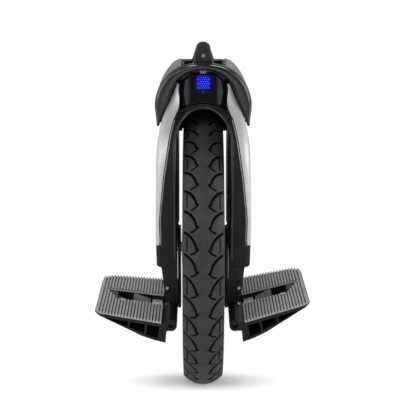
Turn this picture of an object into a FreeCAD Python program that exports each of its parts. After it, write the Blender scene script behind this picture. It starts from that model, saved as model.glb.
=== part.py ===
"""Electric unicycle: a 16 inch hub-motor wheel under a slim shell, with two folding pedals.

Millimetres. X is to the right as seen from the front, Y points to the back, Z is up, and the origin
is where the tyre meets the ground. Left and right are as seen from the front.
"""
import FreeCAD, Part
import itertools
import math
import operator
import os
import Sketcher

doc = FreeCAD.newDocument("electric_unicycle")
sheet = doc.addObject("Spreadsheet::Sheet", "Sizes")

# Driving dimensions: name, value and what it is
DRIVING = [
    ("fit_gap", 0.3, "gap between pieces that sit beside each other"),
    ("running_gap", 0.05, "radial gap of a pin or shaft in its hole"),
    # Tyre and tube
    ("tyre_radius", 205, "outside radius of the tyre, and height of the axle"),
    ("tyre_half_width", 28.5, "half of the widest tyre section"),
    ("tyre_height", 52.5, "height of the tyre's section over its bead seat"),
    ("shoulder_inset", 1.1, "how much narrower the tread's edge is than the widest place"),
    ("shoulder_drop", 13.2, "depth of the shoulder below the crown"),
    ("widest_drop", 6.1, "depth of the widest place below the shoulder"),
    ("sidewall_radius", 45, "bulge of the tyre's side"),
    ("bead_inset", 8.5, "how much narrower the tyre is at a bead than at its widest place"),
    ("bead_thickness", 4.5, "thickness of a bead"),
    ("bead_lip", 2.5, "how far the lip of a bead reaches inwards"),
    ("tread_thickness", 8, "rubber over the tyre's hollow"),
    ("tread_depth", 1.8, "depth of the tread's grooves"),
    ("tread_pitches", 42, "long grooves on each side of the tread"),
    ("tread_lag", 2, "how far the right side's grooves lie behind the left side's"),
    ("groove_width", 2.3, "width of a groove"),
    ("sweep_radius", 34.3, "bend of a long groove"),
    ("sweep_offset", 16, "how far outside the shoulder the middle of that bend lies"),
    ("sweep_along", 30.6, "place of the middle of that bend along the tread"),
    ("sweep_outer", 249, "direction from there to the groove's outer end"),
    ("sweep_inner", 190, "direction from there to the groove's inner end"),
    ("hook_radius", 17.2, "bend of a short groove"),
    ("hook_across", 21.2, "how far from the tyre's middle plane the middle of that bend lies"),
    ("hook_along", 15.3, "place of the middle of that bend along the tread"),
    ("hook_outer", 106, "direction from there to the groove's outer end"),
    ("hook_inner", 145, "direction from there to the groove's inner end"),
    ("hollow_rise", 2.5, "height of the tyre's hollow over the bead seat"),
    ("tube_wall", 1.5, "wall of the inner tube"),
    # Rim and motor
    ("bead_gap", 0.2, "gap between a bead and its flange"),
    ("rim_flange", 2.8, "thickness of a flange"),
    ("flange_height", 9.5, "height of a flange over the bead seat"),
    ("bed_drop", 4.5, "depth of the rim's bed below the bead seat"),
    ("rim_depth", 22, "metal between the rim's bed and its bore"),
    ("cover_overlap", 10, "how far a motor cover reaches over the rim's side"),
    ("cover_thickness", 4, "thickness of a motor cover"),
    ("cover_hub_radius", 26, "radius of the hub in a motor cover"),
    ("cover_rise", 4.5, "height of the hub over the cover's edge"),
    ("cover_lip", 1, "lip that keeps the bearing in"),
    ("cover_dish_radius", 60, "radius where the cover starts to rise to its hub"),
    ("cover_dish", 1, "how far the cover bulges there"),
    ("screw_radius", 2, "shank radius of the small screws"),
    ("screw_head_radius", 3.6, "head radius of the small screws"),
    ("screw_head", 2.2, "head height of the small screws"),
    ("screw_length", 12, "shank length of a cover screw"),
    ("screw_count", 12, "screws in each motor cover"),
    ("bearing_radius", 17.5, "outside radius of a bearing"),
    ("bearing_width", 11, "width of a bearing"),
    ("magnet_count", 30, "magnets inside the rim"),
    ("magnet_thickness", 2.5, "thickness of a magnet"),
    ("magnet_spacing", 6.7, "gap between two magnets"),
    ("air_gap", 0.8, "gap between the stator's teeth and the magnets"),
    ("magnet_seat", 0.5, "flat of a magnet below the rim's bore"),
    ("stack_half_length", 15, "half length of the stator's iron"),
    ("tooth_height", 27.2, "height of a tooth over the stator's ring"),
    ("yoke_thickness", 15, "thickness of the stator's ring"),
    ("hub_plate_half", 6, "half thickness of the stator's hub"),
    ("tooth_count", 24, "teeth of the stator"),
    ("tooth_width", 10, "width of a tooth"),
    ("slot_opening", 6.9, "gap between the shoes of two teeth"),
    ("shoe_height", 2.5, "height of a tooth's shoe"),
    ("coil_spacing", 3.2, "gap between two coils at the stator's ring"),
    ("coil_overhang", 4.5, "copper beyond the end of the iron"),
    # Axle
    ("axle_tail", 1.6, "thread that stands out of an axle nut"),
    ("axle_boss_radius", 12, "radius of the axle inside the stator"),
    ("boss_gap", 2.5, "gap between that boss and a bearing"),
    ("journal_radius", 7.5, "radius of the axle in the bearings"),
    ("journal_tail", 2, "length of a journal past the motor cover"),
    ("thread_radius", 7, "radius of the axle's threaded ends"),
    ("nut_half_flat", 12, "half width of an axle nut over its flats"),
    ("nut_height", 7.8, "height of an axle nut"),
    # Valve
    ("valve_clearance", 6, "distance of the valve from the edge of the motor cover"),
    ("valve_radius", 2.6, "radius of the valve stem"),
    ("valve_stick", 8, "length of the stem outside the rim"),
    ("valve_inside", 2.5, "length of the stem inside the tube"),
    ("valve_cap_radius", 3.8, "radius of the valve cap"),
    ("valve_cap_length", 8, "length of the valve cap"),
    ("valve_cap_end", 1.5, "closed end of the valve cap"),
    # Shell
    ("shell_wall", 2.5, "wall of the silver side shells"),
    ("housing_drop", 205, "depth of the housing's lower edge below the tyre's top"),
    ("housing_reach", 27.6, "how far the housing's lower edge stands out from the tunnel"),
    ("housing_taper", 9, "how much shorter each end of the lower edge is"),
    ("housing_corner", 7, "corner radius of the black housing"),
    ("housing_round", 5, "rounding of the housing's lower edge"),
    ("tunnel_side_gap", 9.9, "gap between the tyre and the side of the wheel tunnel"),
    ("tunnel_top_gap", 14.4, "gap between the tyre and the crown of the tunnel"),
    ("tunnel_wall", 3, "wall between the tunnel and the battery"),
    ("rib_wall", 14, "depth of the black front and rear faces"),
    ("housing_skin", 3.5, "outer skin of the black housing"),
    ("housing_floor", 11, "floor of the black housing"),
    ("bay_roof", 5.5, "depth of the battery bay's top below shell level 9"),
    ("battery_thickness", 15, "thickness of a battery pack"),
    ("battery_gap", 8, "room round a battery pack"),
    ("board_bay_side", 9, "shell beside the board bay at the top"),
    ("board_bay_end", 15.5, "shell in front of and behind the board bay at the top"),
    ("board_bay_bed", 5.6, "shell between the tunnel's crown and the board bay"),
    ("board_gap", 2, "room round the control board"),
    ("heat_sink_height", 6, "height of the heat sink"),
    ("heat_sink_base", 2, "base plate of the heat sink"),
    ("fin_count", 9, "fins of the heat sink"),
    ("fin_width", 2.4, "width of a fin"),
    ("board_thickness", 1.6, "thickness of a circuit board"),
    ("capacitor_radius", 6, "radius of a capacitor"),
    ("capacitor_height", 14, "height of a capacitor"),
    ("capacitor_count", 4, "capacitors on the control board"),
    # Front lens and rear panel
    ("panel_side_gap", 1.1, "gap between the panel and the silver edge"),
    ("panel_bed", 6.9, "black rim between the tunnel's crown and the panel"),
    ("panel_sag", 8.8, "how much lower the panel is at its sides"),
    ("panel_inset", 6.5, "how far the panel's back lies inside the shell's top edge"),
    ("panel_depth", 13.5, "depth of the panel at its foot"),
    ("panel_lean", 0.17, "how far the face leans in for each mm of height"),
    ("panel_round", 6, "rounding of the panel's upright edges"),
    ("led_half_width", 14, "half width of the LED board"),
    ("led_rise", 8.7, "height of the LED board over the panel's lower edge"),
    ("led_height", 17, "height of the LED board itself"),
    ("tail_half_width", 20, "half width of the tail lamp"),
    ("tail_gap", 4.5, "height of the tail lamp over the cap's hinge"),
    ("tail_height", 10, "height of the tail lamp itself"),
    ("tail_depth", 5, "depth of the tail lamp"),
    ("port_rise", 9.7, "height of the charge port over the panel's lower edge"),
    ("port_radius", 7, "radius of the charge port"),
    ("port_wall", 2, "wall of the charge port"),
    ("port_floor", 3, "floor of the charge port"),
    ("port_pin", 4.5, "length of the port's contacts"),
    ("port_stand", 1.5, "how far the port's rim stands out of the panel's foot"),
    ("cap_overlap", 1.5, "how far the port's cap reaches past the port"),
    ("cap_thickness", 2.4, "thickness of the port's cap"),
    ("cap_hinge_gap", 2, "height of the cap's hinge over the cap's edge"),
    ("cap_hinge_radius", 1.8, "radius of the cap's hinge barrel"),
    ("cap_hinge_half", 4, "half length of the hinge barrel"),
    ("cap_pin_radius", 0.9, "radius of the hinge pin"),
    ("cap_ear", 2.5, "thickness of the ears that hold the pin"),
    ("button_drop", 3, "depth of the power button's middle below the hood's inner crown"),
    ("button_half_width", 5, "half width of the power button"),
    ("button_half_height", 2, "half height of the power button"),
    ("button_depth", 8, "depth of the power button"),
    ("button_tail", 0.5, "how far the button reaches past the panel's back"),
    ("button_stem", 1.6, "radius of the button's stem"),
    ("button_travel", 1.2, "travel of the power button"),
    ("button_seat", 3.5, "length of the stem inside the hood"),
    # Hood, pads and handle
    ("hood_overhang", 2.5, "how far the hood reaches past the shell's top edge"),
    ("lip_length", 10, "length of the hood's front lip"),
    ("hood_gap", 0.8, "gap between the shell's top edge and the hood's foot"),
    ("hood_centre_x", 10, "centre of the hood's round side, across"),
    ("hood_centre_drop", 30.3, "depth of that centre below the hood's foot"),
    ("hood_bulge", 5.8, "how far the round side stands out past the flap's tip"),
    ("hood_top_angle", 75, "angle where the side meets the top"),
    ("hood_low_angle", -7, "angle where the side meets the flap"),
    ("flap_gap", 2.4, "gap between the flap's tip and shell level 8"),
    ("flap_tip", 3.2, "thickness of the flap's tip"),
    ("flap_drop", 2, "how far the flap's tip hangs below shell level 8"),
    ("hood_tip_round", 2, "rounding of the flap's tip"),
    ("hood_side_gap", 3.5, "gap between the hood and the shell's top edge, across"),
    ("hood_inner_drop", 3, "how far below the shell's top edge the straight flap starts"),
    ("hood_inner_rise", 23.5, "height of the hood's inner crown over that start"),
    ("lip_round", 2.4, "rounding of the front lip's outer edge"),
    ("pad_seat", 3, "depth of the seat for a leg pad"),
    ("deck_skin", 2, "height of the flat deck over the hood's inner crown"),
    ("well_half_width", 28, "half width of the finger well"),
    ("well_margin", 2, "how far the finger well reaches past the gap under the handle"),
    ("well_bottom", 3.7, "floor of the finger well"),
    ("well_wall", 5, "wall round the finger well"),
    ("pad_edge_share", 0.45, "share of the pad's height left at its edges"),
    ("handle_inset", 0.5, "gap between the handle and the front lip"),
    ("handle_base_half", 16.5, "half width of the handle's base"),
    ("handle_top_half", 9.3, "half width of the handle's top"),
    ("handle_round_rise", 5, "height of the handle's round top"),
    ("handle_height", 36.5, "height of the handle over the deck at the front"),
    ("handle_fall", 9.5, "how much lower the handle's top is at the back"),
    ("grip_thickness_up", 18, "thickness of the handle over the finger well"),
    ("handle_post", 13.5, "length of the handle's front and rear posts"),
    ("handle_round", 4, "rounding of the handle's ends"),
    ("handle_screw_rise", 17, "height of the handle's screws over the deck"),
    ("handle_screw_radius", 2.6, "head radius of those screws"),
    ("handle_screw_head", 1.2, "head height of those screws"),
    ("handle_screw_length", 10, "length of those screws"),
    # Pedal hangers
    ("hanger_thickness", 11.9, "thickness of a hanger"),
    ("hanger_half_length", 20, "half length of a hanger"),
    ("barrel_radius", 8.2, "radius of the hinge barrel"),
    ("pivot_inset", 7.5, "distance of a pedal's hinge from the tunnel's side"),
    ("pivot_drop", 89, "depth of a pedal's hinge below the axle"),
    ("pin_radius", 4, "radius of a hinge pin"),
    ("cover_foot", 5.4, "thickness of a hanger cover at its foot"),
    ("cover_end", 3.5, "wall of a hanger cover over the end of the axle"),
    ("cover_shoulder_drop", 15, "depth below the axle where the cover stops widening"),
    ("cover_top_drop", 8, "depth of a hanger cover's top below the hanger's top"),
    ("cover_screw_rise", 30, "height of the lower cover screw over the hinge"),
    ("cover_screw_gap", 4.85, "distance of the upper cover screw from the nut's hollow"),
    ("cover_screw_inset", 2.8, "distance of the cover screws from the inner face"),
    ("cover_screw_head", 1.2, "head height of the cover screws"),
    # Pedals
    ("left_pedal_rise", 7.3, "angle of the left pedal above level"),
    ("right_pedal_rise", 14.3, "angle of the right pedal above level"),
    ("pedal_half_length", 105, "half length of a pedal at the hinge"),
    ("pedal_reach", 112.5, "distance of the pedal's outer edge from its hinge"),
    ("pedal_taper", 12, "how much shorter each end is at the outer edge"),
    ("pedal_front_round", 14, "rounding of the front outer corner"),
    ("pedal_rear_round", 28, "rounding of the rear outer corner"),
    ("pedal_top", 0.5, "height of the frame's top above the hinge"),
    ("pedal_inner_top", 14, "distance of the frame's inner edge at its top"),
    ("pedal_inner_low", 5, "distance of the frame's inner edge at its foot"),
    ("pedal_foot", 26.5, "depth of the frame's foot below the hinge"),
    ("pedal_heel", 22, "where the frame's underside starts to rise"),
    ("pedal_heel_depth", 25, "depth of the underside there"),
    ("pedal_knee", 40, "where the underside turns up"),
    ("pedal_knee_depth", 22, "depth of the underside there"),
    ("pedal_nose_inset", 5.5, "distance from the outer edge where the underside ends"),
    ("pedal_nose_depth", 1.5, "depth of the underside there"),
    ("pedal_skin", 3, "skin of the frame's underside"),
    ("pedal_deck", 4.5, "thickness of the frame's deck"),
    ("pedal_rib", 3, "thickness of the frame's ribs"),
    ("pedal_rib_one", 36, "first rib's distance from the hinge"),
    ("pedal_rib_two", 61, "second rib's distance from the hinge"),
    ("pedal_bay_inset", 17.5, "distance of the hollow under the deck from the outer edge"),
    ("pedal_web", 5, "wall between the hollows and the middle slot"),
    ("slot_half", 24, "half width of the slot in the deck"),
    ("slot_depth", 9, "depth of the slot below the deck"),
    ("slot_inset", 28.5, "distance of the slot's end from the outer edge"),
    ("slot_ramp", 18, "length of the rising end of the slot's floor"),
    ("slot_tip_inset", 8.5, "distance of the opening between the grips from the outer edge"),
    ("grip_thickness", 4, "thickness of a ribbed grip"),
    ("grip_groove", 2.2, "depth of a groove in a grip"),
    ("grip_groove_width", 2, "width of a groove in a grip"),
    ("grip_pitch", 4.6, "distance from groove to groove"),
    ("grip_margin", 1, "edge of the frame left round a grip"),
    ("pin_inset", 8, "how deep the hinge pin lies in the pedal's end"),
    ("bracket_start", 15.5, "inner end of the latch bracket"),
    ("bracket_width", 15.5, "width of the latch bracket"),
    ("bracket_height", 2.4, "height of the latch bracket over the slot's floor"),
    ("bracket_sheet", 1.5, "thickness of the latch bracket"),
    ("bracket_hole", 2, "radius of the hole in the bracket"),
    ("block_gap", 3, "gap between the magnet block and the bracket or the slot's sides"),
    ("block_room", 11.5, "gap between the magnet block and the head of the bolt"),
    ("magnet_block_low", 4.5, "height of the magnet block at its inner end"),
    ("magnet_block_high", 9.5, "height of the magnet block at its outer end"),
    ("bolt_inset", 8, "distance of the pedal's bolt from the slot's end"),
    ("bolt_head_radius", 4.5, "head radius of that bolt"),
    ("bolt_head", 3, "head height of that bolt"),
    ("bolt_shank", 2, "length of the bolt's shank in the floor"),
]

# The shell's plan, level by level upwards from the housing's lower edge: height over the level
# below, how far the side stands out from the tunnel, half length, and corner radius of the silver
SHELL_LEVELS = [
    (35, 28.1, 121, 4.7),
    (25, 27.9, 127.5, 5),
    (25, 27.5, 132, 5.4),
    (25, 26.9, 134.6, 7.3),
    (25, 26.6, 134.2, 9.7),
    (25, 26.2, 129.5, 12.9),
    (20, 24.7, 119.5, 14.5),
    (16, 21.8, 104, 15),
    (12.5, 18, 87, 15.4),
    (11, 13.6, 72.5, 16.6),
    (13.5, 7.3, 62, 11.8),
    (19.5, -0.4, 57.5, 4.3),
]
# A leg pad round the hood's side: turn from the station before, and height over the seat.
# The first turn is from level.
PAD_STATIONS = [
    (-24, 3.4),
    (10, 5.4),
    (14, 3.8),
    (20, 1.9),
    (20, 3.8),
    (12, 6.8),
    (10, 9.1),
    (8, 7.8),
]
for number, (turn, rise) in enumerate(PAD_STATIONS, start=1):
    DRIVING.append((f"pad_turn_{number}_", turn, f"turn to leg pad station {number}"))
    DRIVING.append((f"pad_rise_{number}_", rise, f"height of the leg pad at station {number}"))
LEVEL_NAMES = ("step", "reach", "half_length", "corner")
for number, level in enumerate(SHELL_LEVELS, start=1):
    for part, value in zip(LEVEL_NAMES, level):
        DRIVING.append((f"shell_{part}_{number}_", value, f"side shell {part}, level {number}"))

OPERATORS = {"+": operator.add, "-": operator.sub, "*": operator.mul, "/": operator.truediv}


class Size:
    """A length, angle or count that keeps the sheet expression it comes from."""

    def __init__(self, text, value):
        self.text = text
        self.value = value

    def __add__(self, other):
        return joined(self, "+", other)

    def __radd__(self, other):
        return joined(other, "+", self)

    def __sub__(self, other):
        return joined(self, "-", other)

    def __rsub__(self, other):
        return joined(other, "-", self)

    def __mul__(self, other):
        return joined(self, "*", other)

    def __rmul__(self, other):
        return joined(other, "*", self)

    def __truediv__(self, other):
        return joined(self, "/", other)

    def __rtruediv__(self, other):
        return joined(other, "/", self)

    def __neg__(self):
        return joined(-1, "*", self)


def as_size(thing):
    return thing if isinstance(thing, Size) else Size(str(thing), thing)


def joined(left, sign, right):
    left = as_size(left)
    right = as_size(right)
    return Size(f"({left.text} {sign} {right.text})", OPERATORS[sign](left.value, right.value))


def root(size):
    return Size(f"sqrt({size.text})", math.sqrt(size.value))


def cosine(angle):
    return Size(f"cos({angle.text} * 1deg)", math.cos(math.radians(angle.value)))


def sine(angle):
    return Size(f"sin({angle.text} * 1deg)", math.sin(math.radians(angle.value)))


def least(sizes):
    return Size("min(" + "; ".join(one.text for one in sizes) + ")", min(one.value for one in sizes))


def whole(size):
    return Size(f"floor({size.text})", math.floor(size.value))


class SizeNames:
    """The sheet's cells, and what follows from them, by name."""


size = SizeNames()
for row, (name, value, note) in enumerate(DRIVING, start=1):
    sheet.set(f"A{row}", name)
    sheet.set(f"B{row}", str(value))
    sheet.setAlias(f"B{row}", name)
    sheet.set(f"C{row}", note)
doc.recompute()
for name, _, _ in DRIVING:
    setattr(size, name, Size(f"Sizes.{name}", float(sheet.get(name))))

# Sizes that follow from the driving ones: wheel
s = size
s.shoulder_half_width = s.tyre_half_width - s.shoulder_inset
s.sweep_across = s.shoulder_half_width + s.sweep_offset
s.bead_radius = s.tyre_radius - s.tyre_height
s.bead_half_width = s.tyre_half_width - s.bead_inset
s.bead_opening = s.bead_half_width - s.bead_thickness - s.bead_lip
s.hollow_radius = (s.tyre_height - s.tread_thickness - s.hollow_rise) / 2
s.tube_centre_radius = s.tyre_radius - s.tread_thickness - s.hollow_radius
s.tube_radius = s.hollow_radius - s.fit_gap
s.rim_half_width = s.bead_half_width + s.bead_gap + s.rim_flange
s.rim_flange_radius = s.bead_radius + s.flange_height
s.rim_bed_radius = s.bead_radius - s.bed_drop
s.rim_bore_radius = s.rim_bed_radius - s.rim_depth
s.cover_radius = s.rim_bore_radius + s.cover_overlap
s.screw_circle = s.rim_bore_radius + s.cover_overlap / 2
s.cover_hub_face = s.rim_half_width + s.cover_thickness + s.cover_rise
s.valve_circle = s.cover_radius + s.valve_clearance
s.valve_reach = s.rim_half_width + s.valve_stick
s.magnet_face = s.rim_bore_radius - s.magnet_seat - s.magnet_thickness
s.magnet_width = s.magnet_face * 2 * sine(180 / s.magnet_count) - s.magnet_spacing
s.tooth_tip_radius = s.magnet_face - s.air_gap
s.yoke_radius = s.tooth_tip_radius - s.tooth_height
s.hub_plate_radius = s.yoke_radius - s.yoke_thickness
half_pitch = sine(180 / s.tooth_count)
s.shoe_width = s.tooth_tip_radius * 2 * half_pitch - s.slot_opening
s.coil_thickness = s.yoke_radius * half_pitch - s.tooth_width / 2 - s.fit_gap - s.coil_spacing / 2

# Shell, hangers and axle
s.tunnel_half_width = s.tyre_half_width + s.tunnel_side_gap
s.tunnel_crown = s.tyre_radius * 2 + s.tunnel_top_gap
s.tunnel_spring = s.tunnel_crown - s.tunnel_half_width
s.housing_bottom = s.tyre_radius * 2 - s.housing_drop
s.housing_bottom_half_width = s.tunnel_half_width + s.housing_reach
s.housing_bottom_half_length = s.shell_half_length_1_ - s.housing_taper
s.hanger_inner = s.tunnel_half_width + s.fit_gap
s.hanger_outer = s.hanger_inner + s.hanger_thickness
s.axle_half_length = s.hanger_outer + s.nut_height + s.axle_tail
s.axle_boss_half = s.cover_hub_face - s.cover_lip - s.bearing_width - s.boss_gap
s.journal_end = s.cover_hub_face + s.journal_tail
s.nut_corner = s.nut_half_flat / Size("cos(30deg)", math.cos(math.radians(30)))
s.nut_room = s.nut_corner + s.fit_gap
s.hanger_top = s.housing_bottom + s.shell_step_1_
s.pivot_x = s.tunnel_half_width + s.pivot_inset
s.pivot_z = s.tyre_radius - s.pivot_drop
s.cover_foot_outer = s.hanger_outer + s.cover_foot
s.cover_outer = s.axle_half_length + s.cover_end
s.cover_shoulder = s.tyre_radius - s.cover_shoulder_drop
s.cover_top = s.hanger_top - s.cover_top_drop
s.cover_screw_low = s.pivot_z + s.cover_screw_rise
s.cover_screw_high = s.tyre_radius - s.nut_room - s.cover_screw_gap


def shell_levels():
    """Height, half width, half length and silver edge of each level of the shell."""
    levels = []
    height = size.housing_bottom
    for number in range(1, len(SHELL_LEVELS) + 1):
        step, reach, half_length, corner = (getattr(size, f"shell_{part}_{number}_") for part in LEVEL_NAMES)
        height = height + step
        half_width = size.tunnel_half_width + reach
        levels.append((height, half_width, half_length, half_width - corner))
    return levels


LEVELS = shell_levels()
SHELL_TOP, SHELL_TOP_HALF_WIDTH, SHELL_TOP_HALF_LENGTH, _ = LEVELS[-1]
FLAP_LEVEL, FLAP_LEVEL_HALF_WIDTH, _, _ = LEVELS[7]
BAY_LEVEL, _, BAY_LEVEL_HALF_LENGTH, _ = LEVELS[8]

# Board bay, panels and hood
s.bay_top = BAY_LEVEL - s.bay_roof
s.board_bay_half_width = SHELL_TOP_HALF_WIDTH - s.board_bay_side
s.board_bay_half_length = SHELL_TOP_HALF_LENGTH - s.board_bay_end
s.board_bay_floor = s.tunnel_crown + s.board_bay_bed
s.panel_half_width = least([edge for _, _, _, edge in LEVELS[9:]]) - s.panel_side_gap
s.panel_low = s.tunnel_crown + s.panel_bed
s.panel_low_side = s.panel_low - s.panel_sag
s.panel_back = SHELL_TOP_HALF_LENGTH - s.panel_inset
s.panel_front = s.panel_back + s.panel_depth
s.led_low = s.panel_low + s.led_rise
s.led_high = s.led_low + s.led_height
s.port_height = s.panel_low + s.port_rise
s.port_bore = s.port_radius - s.port_wall
s.port_face = s.panel_front + s.port_stand
s.cap_radius = s.port_radius + s.cap_overlap
s.cap_hinge_height = s.port_height + s.cap_radius + s.cap_hinge_gap
s.tail_low = s.cap_hinge_height + s.tail_gap
s.tail_high = s.tail_low + s.tail_height
s.hood_half_length = SHELL_TOP_HALF_LENGTH + s.hood_overhang
s.hood_seat = SHELL_TOP + s.hood_gap
s.hood_tip_inner = FLAP_LEVEL_HALF_WIDTH + s.flap_gap
s.hood_tip_outer = s.hood_tip_inner + s.flap_tip
s.hood_tip_height = FLAP_LEVEL - s.flap_drop
s.hood_centre_z = s.hood_seat - s.hood_centre_drop
s.hood_radius = s.hood_tip_inner - s.hood_centre_x + s.hood_bulge
s.hood_inner_x = SHELL_TOP_HALF_WIDTH + s.hood_side_gap
s.hood_inner_z = SHELL_TOP - s.hood_inner_drop
s.hood_inner_top = s.hood_inner_z + s.hood_inner_rise
s.button_height = s.hood_inner_top - s.button_drop
s.button_back = s.panel_back - s.button_tail
s.button_front = s.button_back + s.button_depth
s.deck_height = s.hood_inner_top + s.deck_skin
s.handle_half_length = s.hood_half_length - s.lip_length - s.handle_inset
s.handle_top = s.deck_height + s.handle_height
s.handle_screw_height = s.deck_height + s.handle_screw_rise
s.grip_half_length = s.handle_half_length - s.handle_post
s.well_half_length = s.grip_half_length + s.well_margin
s.well_floor = s.hood_seat + s.well_bottom

# Pedals
s.pedal_nose = s.pedal_reach - s.pedal_nose_inset
s.pedal_bay_end = s.pedal_reach - s.pedal_bay_inset
s.slot_end = s.pedal_reach - s.slot_inset
s.slot_turn = s.slot_end - s.slot_ramp
s.slot_tip = s.pedal_reach - s.slot_tip_inset
s.grip_groove_count = whole((s.pedal_reach - s.grip_margin * 2 - s.pedal_inner_top) / s.grip_pitch)
s.bolt_place = s.slot_end - s.bolt_inset
s.magnet_block_start = s.bracket_start + s.bracket_width + s.block_gap
s.magnet_block_end = s.bolt_place - s.bolt_head_radius - s.block_room
s.magnet_block_half = s.slot_half - s.block_gap

pieces = []


def bind(thing, place, amount):
    """Tie a property to the sheet."""
    thing.setExpression(place, as_size(amount).text)


def new_body(name, at=(0, 0, 0), turn=None):
    """A body for one piece. turn is (axis, angle) about the body's own origin."""
    body = doc.addObject("PartDesign::Body", name)
    body.Label = name
    base = FreeCAD.Vector(*(as_size(part).value for part in at))
    rotation = FreeCAD.Rotation()
    if turn:
        rotation = FreeCAD.Rotation(FreeCAD.Vector(*turn[0]), turn[1].value)
    body.Placement = FreeCAD.Placement(base, rotation)
    for axis, part in zip("xyz", at):
        if isinstance(part, Size):
            bind(body, f"Placement.Base.{axis}", part)
    if turn:
        body.setExpression("Placement.Rotation.Angle", f"{turn[1].text} * 1deg")
    pieces.append(body)
    return body


def origin_feature(body, role):
    return next(one for one in body.Origin.OriginFeatures if one.Role == role)


def new_sketch(body, plane, offset):
    sketch = body.newObject("Sketcher::SketchObject", f"{body.Name}_sketch")
    sketch.AttachmentSupport = [(origin_feature(body, f"{plane}_Plane"), "")]
    sketch.MapMode = "FlatFace"
    sketch.AttachmentOffset.Base.z = as_size(offset).value
    bind(sketch, "AttachmentOffset.Base.z", offset)
    return sketch


def arc_between(start, end, radius, turn):
    """The arc of under half a circle from start to end, turning left (1) or right (-1)."""
    chord = end - start
    rise = math.sqrt(max(radius * radius - chord.Length * chord.Length / 4, 0))
    side = FreeCAD.Vector(-chord.y, chord.x, 0).normalize()
    centre = (start + end) / 2 + side * rise * turn
    first, last = (start, end) if turn > 0 else (end, start)
    from_angle = math.atan2(first.y - centre.y, first.x - centre.x)
    to_angle = math.atan2(last.y - centre.y, last.x - centre.x)
    circle = Part.Circle(centre, FreeCAD.Vector(0, 0, 1), radius)
    return Part.ArcOfCircle(circle, from_angle, to_angle)


def outline(body, plane, points, offset=0):
    """A closed outline. A point is (x, y), or (x, y, radius, turn) where an arc leads to it."""
    sketch = new_sketch(body, plane, offset)
    count = len(points)
    places = [FreeCAD.Vector(as_size(one[0]).value, as_size(one[1]).value, 0) for one in points]
    shapes = []
    ends = []
    for number, point in enumerate(points):
        start = places[number - 1]
        end = places[number]
        if len(point) == 2:
            shapes.append(Part.LineSegment(start, end))
            ends.append((1, 2))
        else:
            turn = point[3]
            shapes.append(arc_between(start, end, as_size(point[2]).value, turn))
            ends.append((1, 2) if turn > 0 else (2, 1))
    sketch.addGeometry(shapes)
    rules = []
    ties = []
    for number, point in enumerate(points):
        follower = (number + 1) % count
        rules.append(Sketcher.Constraint("Coincident", number, ends[number][1], follower, ends[follower][0]))
        for rule, part, at in zip(("DistanceX", "DistanceY"), point, places[number]):
            ties.append((len(rules), part))
            rules.append(Sketcher.Constraint(rule, -1, 1, number, ends[number][1], at))
        if len(point) == 4:
            ties.append((len(rules), point[2]))
            rules.append(Sketcher.Constraint("Radius", number, as_size(point[2]).value))
    sketch.addConstraint(rules)
    for number, part in ties:
        bind(sketch, f"Constraints[{number}]", part)
    return sketch


def circle(body, plane, centre, radius, offset=0):
    sketch = new_sketch(body, plane, offset)
    middle = FreeCAD.Vector(as_size(centre[0]).value, as_size(centre[1]).value, 0)
    sketch.addGeometry(Part.Circle(middle, FreeCAD.Vector(0, 0, 1), as_size(radius).value))
    sketch.addConstraint([
        Sketcher.Constraint("DistanceX", -1, 1, 0, 3, middle.x),
        Sketcher.Constraint("DistanceY", -1, 1, 0, 3, middle.y),
        Sketcher.Constraint("Radius", 0, as_size(radius).value),
    ])
    for number, part in enumerate((centre[0], centre[1], radius)):
        bind(sketch, f"Constraints[{number}]", part)
    return sketch


def draw(body, plane, shape, offset):
    """An outline from a list of points, or a circle from a (centre, radius) pair."""
    if isinstance(shape, tuple):
        return circle(body, plane, shape[0], shape[1], offset)
    return outline(body, plane, shape, offset)


def pad(body, plane, shape, low, high):
    """Material from low to high along X (plane YZ), Y (plane XZ) or Z (plane XY)."""
    sketch = draw(body, plane, shape, -as_size(high) if plane == "XZ" else low)
    feature = body.newObject("PartDesign::Pad", f"{body.Name}_pad")
    feature.Profile = sketch
    bind(feature, "Length", as_size(high) - low)
    doc.recompute()
    return feature


def cut(body, plane, shape, low, high):
    """Remove what lies from low to high along the plane's axis."""
    before = body.Shape.Volume
    sketch = draw(body, plane, shape, -as_size(low) if plane == "XZ" else high)
    feature = body.newObject("PartDesign::Pocket", f"{body.Name}_cut")
    feature.Profile = sketch
    bind(feature, "Length", as_size(high) - low)
    doc.recompute()
    if body.Shape.Volume >= before:
        raise RuntimeError(f"a cut in {body.Label} removed nothing")
    return feature


def revolve(body, points):
    """A ring about the body's X axis, from an outline of (x, radius) points."""
    sketch = outline(body, "XZ", points)
    feature = body.newObject("PartDesign::Revolution", f"{body.Name}_turned")
    feature.Profile = sketch
    feature.ReferenceAxis = (origin_feature(body, "X_Axis"), [""])
    feature.Angle = 360
    doc.recompute()
    return feature


def repeat_round(body, features, count):
    pattern = body.newObject("PartDesign::PolarPattern", f"{body.Name}_round")
    pattern.Originals = features
    pattern.Axis = (origin_feature(body, "X_Axis"), [""])
    pattern.Angle = 360
    bind(pattern, "Occurrences", count)
    body.Tip = pattern
    doc.recompute()


def repeat_along(body, features, axis, step, count, backwards=False):
    pattern = body.newObject("PartDesign::LinearPattern", f"{body.Name}_row")
    pattern.Originals = features
    pattern.Direction = (origin_feature(body, f"{axis}_Axis"), [""])
    pattern.Reversed = backwards
    bind(pattern, "Length", step * (count - 1))
    bind(pattern, "Occurrences", count)
    body.Tip = pattern
    doc.recompute()


def loft(body, plane, sections, heights):
    """Material through outlines at rising distances along the plane's normal."""
    sketches = [outline(body, plane, points, at) for points, at in zip(sections, heights)]
    feature = body.newObject("PartDesign::AdditiveLoft", f"{body.Name}_loft")
    feature.Profile = sketches[0]
    feature.Sections = sketches[1:]
    doc.recompute()
    return feature


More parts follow.
